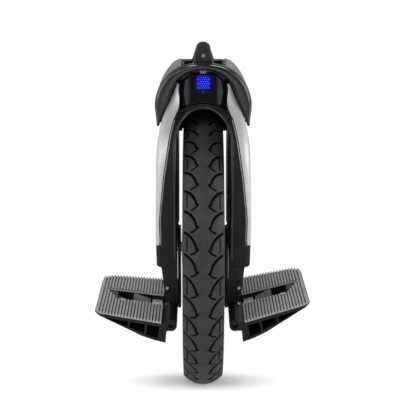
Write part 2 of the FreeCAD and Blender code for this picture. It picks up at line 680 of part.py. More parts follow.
def round_edges(body, wanted, radius):
    """Round the edges of the body so far that wanted(edge) picks."""
    base = body.Tip
    names = [f"Edge{n}" for n, edge in enumerate(base.Shape.Edges, start=1) if wanted(edge)]
    feature = body.newObject("PartDesign::Fillet", f"{body.Name}_rounding")
    feature.Base = (base, names)
    bind(feature, "Radius", radius)
    doc.recompute()


def mirrored(points, side):
    """An outline drawn for the right side, or its mirror image for the left side."""
    if side > 0:
        return points
    flipped = []
    for point in points:
        arc = tuple(point[2:3]) + tuple(-turn for turn in point[3:])
        flipped.append((-1 * as_size(point[0]), point[1]) + arc)
    return flipped


def across(side, low, high):
    """A span in X that was given for the right side."""
    return (low, high) if side > 0 else (-as_size(high), -as_size(low))


def rectangle(low_x, low_y, high_x, high_y):
    return [(low_x, low_y), (high_x, low_y), (high_x, high_y), (low_x, high_y)]


SIDES = (("left", -1), ("right", 1))
AXLE = (0, 0, size.tyre_radius)


# Wheel

def tread_groove(side, radius, across, along, first, last):
    """A curved groove seen from above the wheel, from one direction to another about its middle."""
    s = size
    outer = radius + s.groove_width / 2
    inner = radius - s.groove_width / 2
    bend = 1 if first.value > last.value else -1
    behind = along + s.tread_lag if side > 0 else along

    def corner(reach, angle):
        return (across + reach * cosine(angle), -(behind + reach * sine(angle)))

    band = [
        corner(outer, first),
        (*corner(outer, last), outer, bend),
        corner(inner, last),
        (*corner(inner, first), inner, -bend),
    ]
    return mirrored(band, side)


def build_tyre():
    """The tread's grooves go through an outer layer, and the core below it is their floor."""
    s = size
    tyre = new_body("tyre", AXLE)
    shoulder = s.tyre_radius - s.shoulder_drop
    widest = shoulder - s.widest_drop
    half = s.shoulder_half_width
    drop = s.shoulder_drop
    crown = (half * half + drop * drop) / (2 * drop)
    floor = crown - s.tread_depth
    floor_half = half * floor / crown
    floor_edge = s.tyre_radius - crown + (crown - drop) * floor / crown
    bead_top = s.rim_flange_radius + s.fit_gap * 2
    lip = s.bead_half_width - s.bead_thickness
    room = s.hollow_radius
    lip_top = s.tube_centre_radius - root(room * room - s.bead_opening * s.bead_opening)
    revolve(tyre, [
        (-half, shoulder),
        (half, shoulder, crown, -1),
        (floor_half, floor_edge),
        (-floor_half, floor_edge, floor, 1),
    ])
    grooves = []
    sweep = (s.sweep_radius, s.sweep_across, s.sweep_along, s.sweep_outer, s.sweep_inner)
    hook = (s.hook_radius, s.hook_across, s.hook_along, s.hook_inner, s.hook_outer)
    for _, side in SIDES:
        for bend in (sweep, hook):
            band = tread_groove(side, *bend)
            grooves.append(cut(tyre, "XY", band, widest, s.tyre_radius + s.tread_depth))
    repeat_round(tyre, grooves, s.tread_pitches)
    revolve(tyre, [
        (-floor_half, floor_edge),
        (floor_half, floor_edge, floor, -1),
        (half, shoulder),
        (s.tyre_half_width, widest),
        (s.bead_half_width, bead_top, s.sidewall_radius, -1),
        (s.bead_half_width, s.bead_radius),
        (lip, s.bead_radius),
        (s.bead_opening, lip_top),
        (room, s.tube_centre_radius, room, 1),
        (0, s.tube_centre_radius + room, room, 1),
        (-room, s.tube_centre_radius, room, 1),
        (-s.bead_opening, lip_top, room, 1),
        (-lip, s.bead_radius),
        (-s.bead_half_width, s.bead_radius),
        (-s.bead_half_width, bead_top),
        (-s.tyre_half_width, widest, s.sidewall_radius, -1),
        (-half, shoulder),
    ])


def build_inner_tube():
    s = size
    tube = new_body("inner_tube", AXLE)
    sketch = circle(tube, "XZ", (0, s.tube_centre_radius), s.tube_radius)
    inner = s.tube_radius - s.tube_wall
    centre = FreeCAD.Vector(0, s.tube_centre_radius.value, 0)
    sketch.addGeometry(Part.Circle(centre, FreeCAD.Vector(0, 0, 1), inner.value))
    sketch.addConstraint([
        Sketcher.Constraint("Coincident", 1, 3, 0, 3),
        Sketcher.Constraint("Radius", 1, inner.value),
    ])
    bind(sketch, "Constraints[4]", inner)
    ring = tube.newObject("PartDesign::Revolution", "inner_tube_turned")
    ring.Profile = sketch
    ring.ReferenceAxis = (origin_feature(tube, "X_Axis"), [""])
    ring.Angle = 360
    doc.recompute()
    valve_hole = ((0, 0), s.valve_radius + s.running_gap)
    cut(tube, "XY", valve_hole, -s.tube_centre_radius, -s.rim_bed_radius)


def build_rim():
    s = size
    rim = new_body("rim", AXLE)
    seat = s.bead_radius - s.fit_gap
    flange = s.rim_half_width - s.rim_flange
    half = [
        (s.bead_opening, s.rim_bed_radius),
        (s.bead_opening + 1, seat),
        (flange, seat),
        (flange, s.rim_flange_radius),
        (s.rim_half_width, s.rim_flange_radius),
        (s.rim_half_width, s.rim_bore_radius),
    ]
    revolve(rim, half + [(-x, r) for x, r in reversed(half)])
    hole = ((0, s.screw_circle), s.screw_radius + s.running_gap)
    depth = s.screw_length - s.cover_thickness + 1
    right = cut(rim, "YZ", hole, s.rim_half_width - depth, s.rim_half_width)
    left = cut(rim, "YZ", hole, -s.rim_half_width, depth - s.rim_half_width)
    repeat_round(rim, [right, left], s.screw_count)
    bore = s.valve_radius + s.running_gap
    cut(rim, "XY", ((0, 0), bore), -s.bead_radius, -s.valve_circle)
    cut(rim, "YZ", ((0, -s.valve_circle), bore), -bore, s.rim_half_width)


def build_motor_cover(name, side):
    s = size
    cover = new_body(f"{name}_motor_cover", AXLE)
    face = s.rim_half_width
    outer = face + s.cover_thickness
    lip_face = s.cover_hub_face - s.cover_lip
    seat = s.bearing_radius + s.running_gap
    low = lip_face - s.bearing_width
    revolve(cover, mirrored([
        (face, s.cover_radius),
        (outer, s.cover_radius),
        (outer + s.cover_dish, s.cover_dish_radius),
        (s.cover_hub_face, s.cover_hub_radius),
        (s.cover_hub_face, seat - s.cover_lip * 2),
        (lip_face, seat - s.cover_lip * 2),
        (lip_face, seat),
        (low, seat),
        (low, s.cover_hub_radius),
        (face, s.cover_hub_radius),
    ], side))
    hole = ((0, s.screw_circle), s.screw_radius + s.running_gap)
    one = cut(cover, "YZ", hole, *across(side, face, outer + s.cover_dish))
    repeat_round(cover, [one], s.screw_count)


def build_cover_screws():
    s = size
    screws = new_body("motor_cover_screws", AXLE)
    made = []
    seat = s.rim_half_width + s.cover_thickness + s.running_gap + s.cover_dish / 10
    for _, side in SIDES:
        middle = (0, s.screw_circle)
        head = across(side, seat, seat + s.screw_head)
        made.append(pad(screws, "YZ", (middle, s.screw_head_radius), *head))
        made.append(pad(screws, "YZ", (middle, s.screw_radius), *across(side, seat - s.screw_length, seat)))
        key = (middle, s.screw_radius * 0.7)
        made.append(cut(screws, "YZ", key, *across(side, seat + s.screw_head / 3, seat + s.screw_head)))
    repeat_round(screws, made, s.screw_count)


def build_bearing(name, side):
    s = size
    bearing = new_body(f"{name}_bearing", AXLE)
    high = s.cover_hub_face - s.cover_lip
    low = high - s.bearing_width
    bore = s.journal_radius + s.running_gap
    revolve(bearing, mirrored(rectangle(low, bore, high, s.bearing_radius), side))


def build_magnets():
    s = size
    magnets = new_body("rotor_magnets", AXLE)
    top = s.rim_bore_radius - s.magnet_seat
    half = s.magnet_width / 2
    block = rectangle(-half, s.magnet_face, half, top)
    one = pad(magnets, "YZ", block, -s.stack_half_length, s.stack_half_length)
    repeat_round(magnets, [one], s.magnet_count)


def build_valve():
    s = size
    stem = new_body("valve_stem", AXLE)
    inside = s.tube_centre_radius - s.tube_radius + s.tube_wall + s.valve_inside
    pad(stem, "XY", ((0, 0), s.valve_radius), -inside, -s.valve_circle)
    pad(stem, "YZ", ((0, -s.valve_circle), s.valve_radius), -s.valve_radius, s.valve_reach)
    cap = new_body("valve_cap", AXLE)
    start = s.valve_reach + s.valve_cap_end + s.running_gap - s.valve_cap_length
    end = s.valve_reach + s.valve_cap_end + s.running_gap
    middle = (0, -s.valve_circle)
    pad(cap, "YZ", (middle, s.valve_cap_radius), start, end)
    cut(cap, "YZ", (middle, s.valve_radius + s.running_gap), start, end - s.valve_cap_end)


# Axle and stator, which stand still

def build_axle():
    s = size
    axle = new_body("axle", AXLE)
    revolve(axle, [
        (-s.axle_half_length, 0),
        (s.axle_half_length, 0),
        (s.axle_half_length, s.thread_radius),
        (s.journal_end, s.thread_radius),
        (s.journal_end, s.journal_radius),
        (s.axle_boss_half, s.journal_radius),
        (s.axle_boss_half, s.axle_boss_radius),
        (-s.axle_boss_half, s.axle_boss_radius),
        (-s.axle_boss_half, s.journal_radius),
        (-s.journal_end, s.journal_radius),
        (-s.journal_end, s.thread_radius),
        (-s.axle_half_length, s.thread_radius),
    ])


def build_axle_nut(name, side):
    s = size
    nut = new_body(f"{name}_axle_nut", AXLE)
    start = s.hanger_outer
    corner = s.nut_corner
    half = corner / 2
    hexagon = [
        (corner, 0),
        (half, s.nut_half_flat),
        (-half, s.nut_half_flat),
        (-corner, 0),
        (-half, -s.nut_half_flat),
        (half, -s.nut_half_flat),
    ]
    pad(nut, "YZ", hexagon, *across(side, start, start + s.nut_height))
    cut(nut, "YZ", ((0, 0), s.thread_radius + s.running_gap), *across(side, start, start + s.nut_height))


def build_stator():
    s = size
    hub = new_body("stator_hub", AXLE)
    bore = s.axle_boss_radius + s.running_gap
    revolve(hub, rectangle(-s.hub_plate_half, bore, s.hub_plate_half, s.hub_plate_radius))
    core = new_body("stator_core", AXLE)
    inner = s.hub_plate_radius + s.running_gap
    revolve(core, rectangle(-s.stack_half_length, inner, s.stack_half_length, s.yoke_radius))
    tip = s.tooth_tip_radius
    flat = root(tip * tip - s.shoe_width * s.shoe_width / 4)
    neck = flat - s.shoe_height
    tooth = [
        (-s.tooth_width / 2, s.yoke_radius - 1),
        (s.tooth_width / 2, s.yoke_radius - 1),
        (s.tooth_width / 2, neck),
        (s.shoe_width / 2, neck + 1),
        (s.shoe_width / 2, flat),
        (-s.shoe_width / 2, flat),
        (-s.shoe_width / 2, neck + 1),
        (-s.tooth_width / 2, neck),
    ]
    one = pad(core, "YZ", tooth, -s.stack_half_length, s.stack_half_length)
    repeat_round(core, [one], s.tooth_count)
    coils = new_body("stator_windings", AXLE)
    low = s.yoke_radius + s.fit_gap * 2
    high = neck - s.fit_gap
    room = s.tooth_width / 2 + s.fit_gap
    half = room + s.coil_thickness
    end = s.stack_half_length + s.fit_gap + s.coil_overhang
    block = pad(coils, "YZ", rectangle(-half, low, half, high), -end, end)
    gap = s.stack_half_length + s.fit_gap
    hole = cut(coils, "YZ", rectangle(-room, low - 1, room, high + 1), -gap, gap)
    repeat_round(coils, [block, hole], s.tooth_count)


# Shells

def silver_section(half_width, half_length, edge, side):
    wall = size.shell_wall
    corner = half_width - edge
    flat = half_length - corner
    return mirrored([
        (edge, -half_length),
        (half_width, -flat, corner, 1),
        (half_width, flat),
        (edge, half_length, corner, 1),
        (edge, half_length - wall),
        (half_width - wall, flat, corner - wall, -1),
        (half_width - wall, -flat),
        (edge, wall - half_length, corner - wall, -1),
    ], side)


def black_section(half_width, half_length, edge, side):
    """The black half inside the silver: its faces show at the front and the back."""
    step = size.shell_wall + size.fit_gap
    corner = half_width - edge
    flat = half_length - corner
    face = edge - size.fit_gap
    return mirrored([
        (0, -half_length),
        (face, -half_length),
        (face, step - half_length),
        (edge, step - half_length),
        (half_width - step, -flat, corner - step, 1),
        (half_width - step, flat),
        (edge, half_length - step, corner - step, 1),
        (face, half_length - step),
        (face, half_length),
        (0, half_length),
    ], side)


def housing_section(half_width, half_length, side):
    corner = size.housing_corner
    return mirrored([
        (0, -half_length),
        (half_width - corner, -half_length),
        (half_width, corner - half_length, corner, 1),
        (half_width, half_length - corner),
        (half_width - corner, half_length, corner, 1),
        (0, half_length),
    ], side)


def build_side_shell(name, side):
    shell = new_body(f"{name}_side_shell")
    sections = [silver_section(w, l, e, side) for _, w, l, e in LEVELS]
    loft(shell, "XY", sections, [one[0] + size.fit_gap for one in LEVELS])


def bay_outline(shrink):
    """The battery bay seen from the side, drawn in by shrink."""
    inset = size.rib_wall + shrink
    right = [(length - inset, height) for height, _, length, _ in LEVELS[1:7]]
    low = size.hanger_top + size.shell_wall + shrink
    high = size.bay_top - shrink
    top = BAY_LEVEL_HALF_LENGTH - inset
    right = [(LEVELS[0][2] - inset, low)] + right + [(top, high)]
    return right + [(-y, z) for y, z in reversed(right)]


def build_inner_shell(name, side):
    s = size
    shell = new_body(f"{name}_inner_shell")
    loft(shell, "XY", [black_section(w, l, e, side) for _, w, l, e in LEVELS], [one[0] for one in LEVELS])
    low_section = housing_section(s.housing_bottom_half_width, s.housing_bottom_half_length, side)
    high_section = housing_section(LEVELS[0][1], LEVELS[0][2], side)
    loft(shell, "XY", [low_section, high_section], [s.housing_bottom, LEVELS[0][0]])

    def lower_rim(edge):
        box = edge.BoundBox
        return box.ZMax < s.housing_bottom.value + 0.1 and max(abs(box.XMin), abs(box.XMax)) > 1

    round_edges(shell, lower_rim, s.housing_round)
    tunnel = [
        (0, s.housing_bottom - 1),
        (s.tunnel_half_width, s.housing_bottom - 1),
        (s.tunnel_half_width, s.tunnel_spring),
        (0, s.tunnel_spring + s.tunnel_half_width, s.tunnel_half_width, 1),
    ]
    beyond = LEVELS[3][2] + 1
    cut(shell, "XZ", mirrored(tunnel, side), -beyond, beyond)
    for end in (-1, 1):
        cut_panel_seat(shell, side, end)
    bay = rectangle(0, -s.board_bay_half_length, s.board_bay_half_width, s.board_bay_half_length)
    cut(shell, "XY", mirrored(bay, side), s.board_bay_floor, SHELL_TOP + 1)
    wall = s.tunnel_half_width + s.tunnel_wall
    cut(shell, "YZ", bay_outline(0), *across(side, wall, LEVELS[0][1] + 1))
    room = s.hanger_half_length + s.fit_gap
    outside = s.cover_outer + s.fit_gap
    hanger = mirrored(rectangle(s.tunnel_half_width - 1, -room, outside, room), side)
    cut(shell, "XY", hanger, s.housing_bottom - 1, s.hanger_top + s.fit_gap)
    floor = s.housing_bottom + s.housing_floor
    roof = LEVELS[0][0] + s.shell_wall
    inside = s.housing_bottom_half_width - s.housing_skin
    for end in (-1, 1):
        near = room + s.tunnel_wall
        far = s.housing_bottom_half_length - s.rib_wall
        pocket = rectangle(wall, near * end, inside, far * end)
        cut(shell, "XY", mirrored(pocket, side), floor, roof + 1)


def cut_panel_seat(shell, side, end):
    """Room for the lens at the front (end -1) or the rear panel at the back (end 1)."""
    s = size
    half = s.panel_half_width + s.fit_gap
    low = s.panel_low - s.fit_gap
    low_side = s.panel_low_side - s.fit_gap
    sag = low - low_side
    arc = (half * half + sag * sag) / (2 * sag)
    top = SHELL_TOP + 1
    seat = mirrored([(0, top), (0, low), (half, low_side, arc, -1), (half, top)], side)
    back = s.panel_back - s.fit_gap
    face = s.panel_front * 1.3
    span = (-face, -back) if end < 0 else (back, face)
    cut(shell, "XZ", seat, *span)


def build_battery(name, side):
    s = size
    pack = new_body(f"{name}_battery_pack")
    start = s.tunnel_half_width + s.tunnel_wall + s.fit_gap
    pad(pack, "YZ", bay_outline(s.battery_gap), *across(side, start, start + s.battery_thickness))


def build_electronics():
    s = size
    half_width = s.board_bay_half_width - s.board_gap
    half_length = s.board_bay_half_length - s.board_gap
    sink = new_body("heat_sink")
    base = s.board_bay_floor + s.heat_sink_base
    top = s.board_bay_floor + s.heat_sink_height
    pad(sink, "XY", rectangle(-half_width, -half_length, half_width, half_length), s.board_bay_floor, base)
    fin = rectangle(-half_width, base - 1, s.fin_width - half_width, top)
    one = pad(sink, "XZ", fin, -half_length, half_length)
    step = (half_width * 2 - s.fin_width) / (s.fin_count - 1)
    repeat_along(sink, [one], "X", step, s.fin_count)
    board = new_body("control_board")
    plate = rectangle(-half_width, -half_length, half_width, half_length)
    pad(board, "XY", plate, top, top + s.board_thickness)
    place = (s.capacitor_radius * 1.5 - half_width, s.capacitor_radius * 1.5 - half_length)
    start = top + s.board_thickness - 0.1
    can = pad(board, "XY", (place, s.capacitor_radius), start, start + s.capacitor_height)
    repeat_along(board, [can], "Y", s.capacitor_radius * 2.4, s.capacitor_count)


# Front lens, rear panel and what is in them

def panel_outline():
    """The lens or rear panel seen from the front: round below, over the arch, and under the hood."""
    s = size
    half = s.panel_half_width
    sag = s.panel_low - s.panel_low_side
    low_arc = (half * half + sag * sag) / (2 * sag)
    rise = s.hood_inner_top - s.hood_inner_z
    inner_arc = (s.hood_inner_x * s.hood_inner_x + rise * rise) / (2 * rise)
    arc = inner_arc - s.fit_gap * 2
    centre = s.hood_inner_top - inner_arc
    shoulder = centre + root(arc * arc - half * half)
    return [
        (half, shoulder),
        (0, centre + arc, arc, 1),
        (-half, shoulder, arc, 1),
        (-half, s.panel_low_side),
        (0, s.panel_low, low_arc, -1),
        (half, s.panel_low_side, low_arc, -1),
    ]


def build_panel(name, end):
    """A panel whose face leans in towards the top. end is -1 at the front and 1 at the back."""
    s = size
    panel = new_body(name)
    deep = (s.panel_back, s.panel_front + 2)
    span = (-deep[1], -deep[0]) if end < 0 else deep
    pad(panel, "XZ", panel_outline(), *span)
    foot = s.panel_low_side - 1
    head = s.hood_inner_top
    lean = s.panel_lean * (head - foot)
    far = s.panel_front + 3
    face = [
        (end * far, foot),
        (end * s.panel_front, foot),
        (end * (s.panel_front - lean), head),
        (end * far, head),
    ]
    cut(panel, "YZ", face, -s.panel_half_width - 1, s.panel_half_width + 1)

    def upright(edge):
        box = edge.BoundBox
        middle = abs(box.Center.y)
        side = abs(abs(box.Center.x) - s.panel_half_width.value) < 0.1
        return side and box.ZLength > 5 and middle > s.panel_back.value + 1

    round_edges(panel, upright, s.panel_round)
    return panel


def build_front_lens():
    s = size
    lens = build_panel("front_lamp_lens", -1)
    half = s.button_half_width + s.fit_gap
    low = s.button_height - s.button_half_height - s.fit_gap
    cut(lens, "XZ", rectangle(-half, low, half, s.hood_inner_top), -s.panel_front - 1, -s.panel_back + 1)
    front = -s.panel_back - s.board_thickness
    gap = s.fit_gap
    wide = s.led_half_width + gap
    recess = rectangle(-wide, s.led_low - gap, wide, s.led_high + gap)
    cut(lens, "XZ", recess, front - gap, -s.panel_back)
    board = new_body("front_led_board")
    plate = rectangle(-s.led_half_width, s.led_low, s.led_half_width, s.led_high)
    pad(board, "XZ", plate, front, -s.panel_back)


def build_rear_panel():
    s = size
    panel = build_panel("rear_panel", 1)
    far = s.panel_front + 1
    hole = rectangle(-s.tail_half_width, s.tail_low, s.tail_half_width, s.tail_high)
    cut(panel, "XZ", hole, s.panel_back + 2, far)
    barrel = s.port_radius + s.running_gap
    cut(panel, "XZ", ((0, s.port_height), barrel), s.panel_back - 1, far)
    hinge = s.port_face + s.fit_gap + s.cap_thickness / 2
    ear_low = s.cap_hinge_half + s.fit_gap
    ear = [
        (hinge - s.cap_hinge_radius * 6, s.cap_hinge_height - s.cap_hinge_radius),
        (hinge + s.cap_hinge_radius, s.cap_hinge_height - s.cap_hinge_radius),
        (hinge + s.cap_hinge_radius, s.cap_hinge_height + s.cap_hinge_radius),
        (hinge - s.cap_hinge_radius * 6, s.cap_hinge_height + s.cap_hinge_radius),
    ]
    for _, side in SIDES:
        pad(panel, "YZ", ear, *across(side, ear_low, ear_low + s.cap_ear))
    pin = ((hinge, s.cap_hinge_height), s.cap_pin_radius + s.running_gap)
    cut(panel, "YZ", pin, -ear_low - s.cap_ear, ear_low + s.cap_ear)

    lamp = new_body("tail_lamp")
    gap = s.fit_gap
    glass = rectangle(gap - s.tail_half_width, s.tail_low + gap, s.tail_half_width - gap, s.tail_high - gap)
    pad(lamp, "XZ", glass, s.panel_back + 2, s.panel_back + 2 + s.tail_depth)

    port = new_body("charge_port")
    pad(port, "XZ", ((0, s.port_height), s.port_radius), s.panel_back, s.port_face)
    cut(port, "XZ", ((0, s.port_height), s.port_bore), s.panel_back + s.port_floor, s.port_face)
    pin_radius = s.port_bore / 5
    floor = s.panel_back + s.port_floor
    for place in (-0.5, 0.5):
        middle = (s.port_bore * place, s.port_height)
        pad(port, "XZ", (middle, pin_radius), floor - 1, floor + s.port_pin)

    cap = new_body("charge_port_cap")
    start = s.port_face + s.fit_gap
    end = start + s.cap_thickness
    pad(cap, "XZ", ((0, s.port_height), s.cap_radius), start, end)
    arm = rectangle(-s.cap_hinge_half, s.port_height, s.cap_hinge_half, s.cap_hinge_height)
    pad(cap, "XZ", arm, start, end)
    axis = (hinge, s.cap_hinge_height)
    pad(cap, "YZ", (axis, s.cap_hinge_radius), -s.cap_hinge_half, s.cap_hinge_half)
    pad(cap, "YZ", (axis, s.cap_pin_radius), -ear_low - s.cap_ear, ear_low + s.cap_ear)


def build_power_button():
    s = size
    button = new_body("power_button")
    low = s.button_height - s.button_half_height
    high = s.button_height + s.button_half_height
    narrow = s.button_half_width * 0.7
    face = [(-narrow, low), (narrow, low), (s.button_half_width, high), (-s.button_half_width, high)]
    pad(button, "XZ", face, -s.button_front, -s.button_back)
    wall = s.well_half_length + s.well_wall * 1.4
    pad(button, "XZ", ((0, s.button_height), s.button_stem), -s.button_back - 0.5, s.button_seat - wall)


# Hood, pads and handle

def hood_outline(seat):
    """The hood seen from the front, with its round sides lowered by seat."""
    s = size
    radius = s.hood_radius - seat
    top_x = s.hood_centre_x + radius * cosine(s.hood_top_angle)
    top_z = s.hood_centre_z + radius * sine(s.hood_top_angle)
    low_x = s.hood_centre_x + radius * cosine(s.hood_low_angle)
    low_z = s.hood_centre_z + radius * sine(s.hood_low_angle)
    crown = top_x / cosine(s.hood_top_angle)
    crown_z = top_z + crown * (1 - sine(s.hood_top_angle))
    tip_x = s.hood_tip_outer - seat / 2
    rise = s.hood_inner_top - s.hood_inner_z
    inner = (s.hood_inner_x * s.hood_inner_x + rise * rise) / (2 * rise)
    right = [
        (top_x, top_z, crown, -1),
        (low_x, low_z, radius, -1),
        (tip_x, s.hood_tip_height),
        (s.hood_tip_inner, s.hood_tip_height, s.hood_tip_round, -1),
        (s.hood_inner_x, s.hood_inner_z),
    ]
    left = [
        (-s.hood_inner_x, s.hood_inner_z, inner, 1),
        (-s.hood_tip_inner, s.hood_tip_height),
        (-tip_x, s.hood_tip_height, s.hood_tip_round, -1),
        (-low_x, low_z),
        (-top_x, top_z, radius, -1),
    ]
    return [(0, crown_z, crown, -1)] + right + [(0, s.hood_inner_top, inner, 1)] + left


def build_hood():
    s = size
    hood = new_body("top_hood")
    lip_start = s.lip_round - s.hood_half_length
    pad(hood, "XZ", hood_outline(s.pad_seat), lip_start, s.hood_half_length)
    lip_end = s.lip_length - s.hood_half_length
    deck = rectangle(-s.hood_radius, lip_end, s.hood_radius, s.hood_half_length + 1)
    cut(hood, "XY", deck, s.deck_height, s.handle_top)
    front = s.hood_half_length
    drops = [s.lip_round * 0, s.lip_round * 0.3, s.lip_round]
    places = [front - s.lip_round * 1.4, front - s.lip_round * 0.4, front]
    loft(hood, "XZ", [hood_outline(drop) for drop in drops], places)
    pad(hood, "XZ", hood_outline(0), -places[0], lip_end)
    half_width = s.well_half_width + s.well_wall / 2
    half_length = s.well_half_length + s.well_wall * 1.4
    block = rectangle(-half_width, -half_length, half_width, half_length)
    pad(hood, "XY", block, s.hood_seat, s.hood_inner_top)
    well = rectangle(-s.well_half_width, -s.well_half_length, s.well_half_width, s.well_half_length)
    cut(hood, "XY", well, s.well_floor, s.handle_top)
    stem = ((0, s.button_height), s.button_stem + s.running_gap)
    depth = s.button_seat + s.button_travel + s.fit_gap
    cut(hood, "XZ", stem, -half_length, depth - half_length)


def build_leg_pad(name, side):
    """A soft pad in the hood's seat: a loft whose height falls off towards the front and the back."""
    s = size
    middle = FreeCAD.Vector(s.hood_centre_x.value, 0, s.hood_centre_z.value)
    seat = s.hood_radius.value - s.pad_seat.value + s.fit_gap.value
    bend = s.hood_low_angle.value
    tip = s.hood_tip_outer.value - s.pad_seat.value / 2 + s.fit_gap.value
    numbers = range(1, len(PAD_STATIONS) + 1)
    turns = [getattr(s, f"pad_turn_{number}_").value for number in numbers]
    angles = list(itertools.accumulate(turns))
    rises = [getattr(s, f"pad_rise_{number}_").value for number in numbers]
    end_half = s.hood_half_length.value - s.lip_length.value - s.fit_gap.value

    def at(angle, rise, y):
        """A point over the seat, which is round above the bend and straight down the flap below it."""
        turn = math.radians(angle)
        out = FreeCAD.Vector(math.cos(turn), 0, math.sin(turn))
        reach = seat
        if angle < bend:
            top = seat * math.cos(math.radians(bend))
            fall = -seat * math.sin(math.radians(bend))
            drop = s.hood_centre_z.value - s.hood_tip_height.value
            slope = (tip - middle.x - top) / (drop - fall)
            reach = (top - slope * fall) / (math.cos(turn) + slope * math.sin(turn))
        return middle + FreeCAD.Vector(0, y, 0) + out * (reach + rise)

    def section(y, fullness):
        outer = [at(angle, rise * fullness, y) for angle, rise in zip(angles, rises)]
        curve = Part.BSplineCurve()
        curve.interpolate(outer)
        start = at(angles[0], 0, y)
        turn = at(bend, 0, y)
        end = at(angles[-1], 0, y)
        under = Part.Arc(end, at((bend + angles[-1]) / 2, 0, y), turn)
        edges = [
            curve.toShape(),
            Part.LineSegment(outer[-1], end).toShape(),
            under.toShape(),
            Part.LineSegment(turn, start).toShape(),
            Part.LineSegment(start, outer[0]).toShape(),
        ]
        return Part.Wire(edges)

    edge = s.pad_edge_share.value
    stations = ((-1, edge), (-0.8, (1 + edge) / 2), (0, 1), (0.8, (1 + edge) / 2), (1, edge))
    shape = Part.makeLoft([section(end_half * place, full) for place, full in stations], True, False)
    if side < 0:
        shape = shape.mirror(FreeCAD.Vector(), FreeCAD.Vector(1, 0, 0))
    leg_pad = doc.addObject("Part::Feature", f"{name}_leg_pad")
    leg_pad.Label = f"{name}_leg_pad"
    leg_pad.Shape = shape
    leg_pad.Placement = FreeCAD.Placement()
    pieces.append(leg_pad)


def build_handle():
    s = size
    handle = new_body("carry_handle")
    base = s.deck_height + s.fit_gap
    rise = s.handle_round_rise
    arc = (s.handle_top_half * s.handle_top_half + rise * rise) / (2 * rise)

    def section(top):
        return [
            (-s.handle_base_half, base),
            (s.handle_base_half, base),
            (s.handle_top_half, top - rise),
            (-s.handle_top_half, top - rise, arc, 1),
        ]

    back = s.handle_top - s.handle_fall
    half = s.handle_half_length
    loft(handle, "XZ", [section(back), section(s.handle_top)], [-half, half])

    def end_edge(edge):
        box = edge.BoundBox
        return box.YLength < 0.1 and box.ZMax > base.value + 1

    round_edges(handle, end_edge, s.handle_round)
    slope = s.handle_fall / (2 * half)
    under = s.handle_top - s.handle_fall / 2 - s.grip_thickness_up
    reach = s.grip_half_length
    gap = [
        (-reach, base - 1),
        (reach, base - 1),
        (reach, under - slope * reach),
        (-reach, under + slope * reach),
    ]
    cut(handle, "YZ", gap, -s.handle_base_half - 1, s.handle_base_half + 1)
    screws = new_body("handle_screws")
    middle = (0, s.handle_screw_height)
    for end in (-1, 1):
        face = s.handle_half_length
        inner = face - s.handle_screw_length
        hole_span = (inner, face) if end > 0 else (-face, -inner)
        cut(handle, "XZ", (middle, s.screw_radius + s.running_gap), *hole_span)
        head_span = (face + s.running_gap, face + s.running_gap + s.handle_screw_head)
        if end < 0:
            head_span = (-head_span[1], -head_span[0])
        pad(screws, "XZ", (middle, s.handle_screw_radius), *head_span)
        shank_span = (inner + 0.5, head_span[0] + 0.5) if end > 0 else (head_span[1] - 0.5, -inner - 0.5)
        pad(screws, "XZ", (middle, s.screw_radius), *shank_span)


# Pedal hangers

def build_hanger(name, side):
    s = size
    start = s.hanger_inner
    end = s.hanger_outer
    half = s.hanger_half_length
    hanger = new_body(f"{name}_pedal_hanger")
    plate = mirrored(rectangle(start, s.pivot_z, end, s.hanger_top), side)
    pad(hanger, "XZ", plate, -half, half)
    pivot = mirrored([(s.pivot_x, s.pivot_z)], side)[0]
    pad(hanger, "XZ", (pivot, s.barrel_radius), -half, half)
    cut(hanger, "XZ", (pivot, s.pin_radius + s.running_gap), -half, half)
    cut(hanger, "YZ", ((0, s.tyre_radius), s.thread_radius + s.running_gap), *across(side, start, end))

    cover = new_body(f"{name}_hanger_cover")
    inner = end + s.fit_gap
    foot = s.pivot_z + s.barrel_radius + s.fit_gap
    profile = mirrored([
        (inner, foot),
        (s.cover_foot_outer, foot),
        (s.cover_outer, s.cover_shoulder),
        (s.cover_outer, s.cover_top),
        (inner, s.cover_top),
    ], side)
    pad(cover, "XZ", profile, -half, half)
    room_end = s.axle_half_length + s.fit_gap
    cut(cover, "YZ", ((0, s.tyre_radius), s.nut_room), *across(side, inner, room_end))

    screws = new_body(f"{name}_cover_screws")
    depth = half / 2
    seat = -half - s.running_gap
    for height in (s.cover_screw_low, s.cover_screw_high):
        middle = mirrored([(inner + s.cover_screw_inset, height)], side)[0]
        cut(cover, "XZ", (middle, s.screw_radius + s.running_gap), -half, depth - half + 0.5)
        pad(screws, "XZ", (middle, s.screw_radius + 0.4), seat - s.cover_screw_head, seat)
        pad(screws, "XZ", (middle, s.screw_radius), -half - 0.5, depth - half)


# Pedals, drawn level about their hinge and turned up to their stop

def underside(place):
    """Depth of the pedal's underside at a distance from the hinge, along its rising part."""
    s = size
    slope = (s.pedal_knee_depth - s.pedal_nose_depth) / (s.pedal_nose - s.pedal_knee)
    return -s.pedal_knee_depth + (place - s.pedal_knee) * slope


def pedal_end(end, inset):
    """Three points of the pedal's plan at its front (-1) or rear (1): outer edge, corner and inner end."""
    s = size
    corner = s.pedal_front_round if end < 0 else s.pedal_rear_round
    reach = s.pedal_reach - inset
    half = s.pedal_half_length - inset
    turn = -1 if end < 0 else 1
    return [
        (reach, end * (half - s.pedal_taper - corner)),
        (reach - corner, end * (half - s.pedal_taper), corner, turn),
        (s.pedal_inner_top + inset, end * half),
    ]


def pedal_body(label, name, side):
    rise = getattr(size, f"{name}_pedal_rise")
    return new_body(label, (side * size.pivot_x, 0, size.pivot_z), ((0, -side, 0), rise))


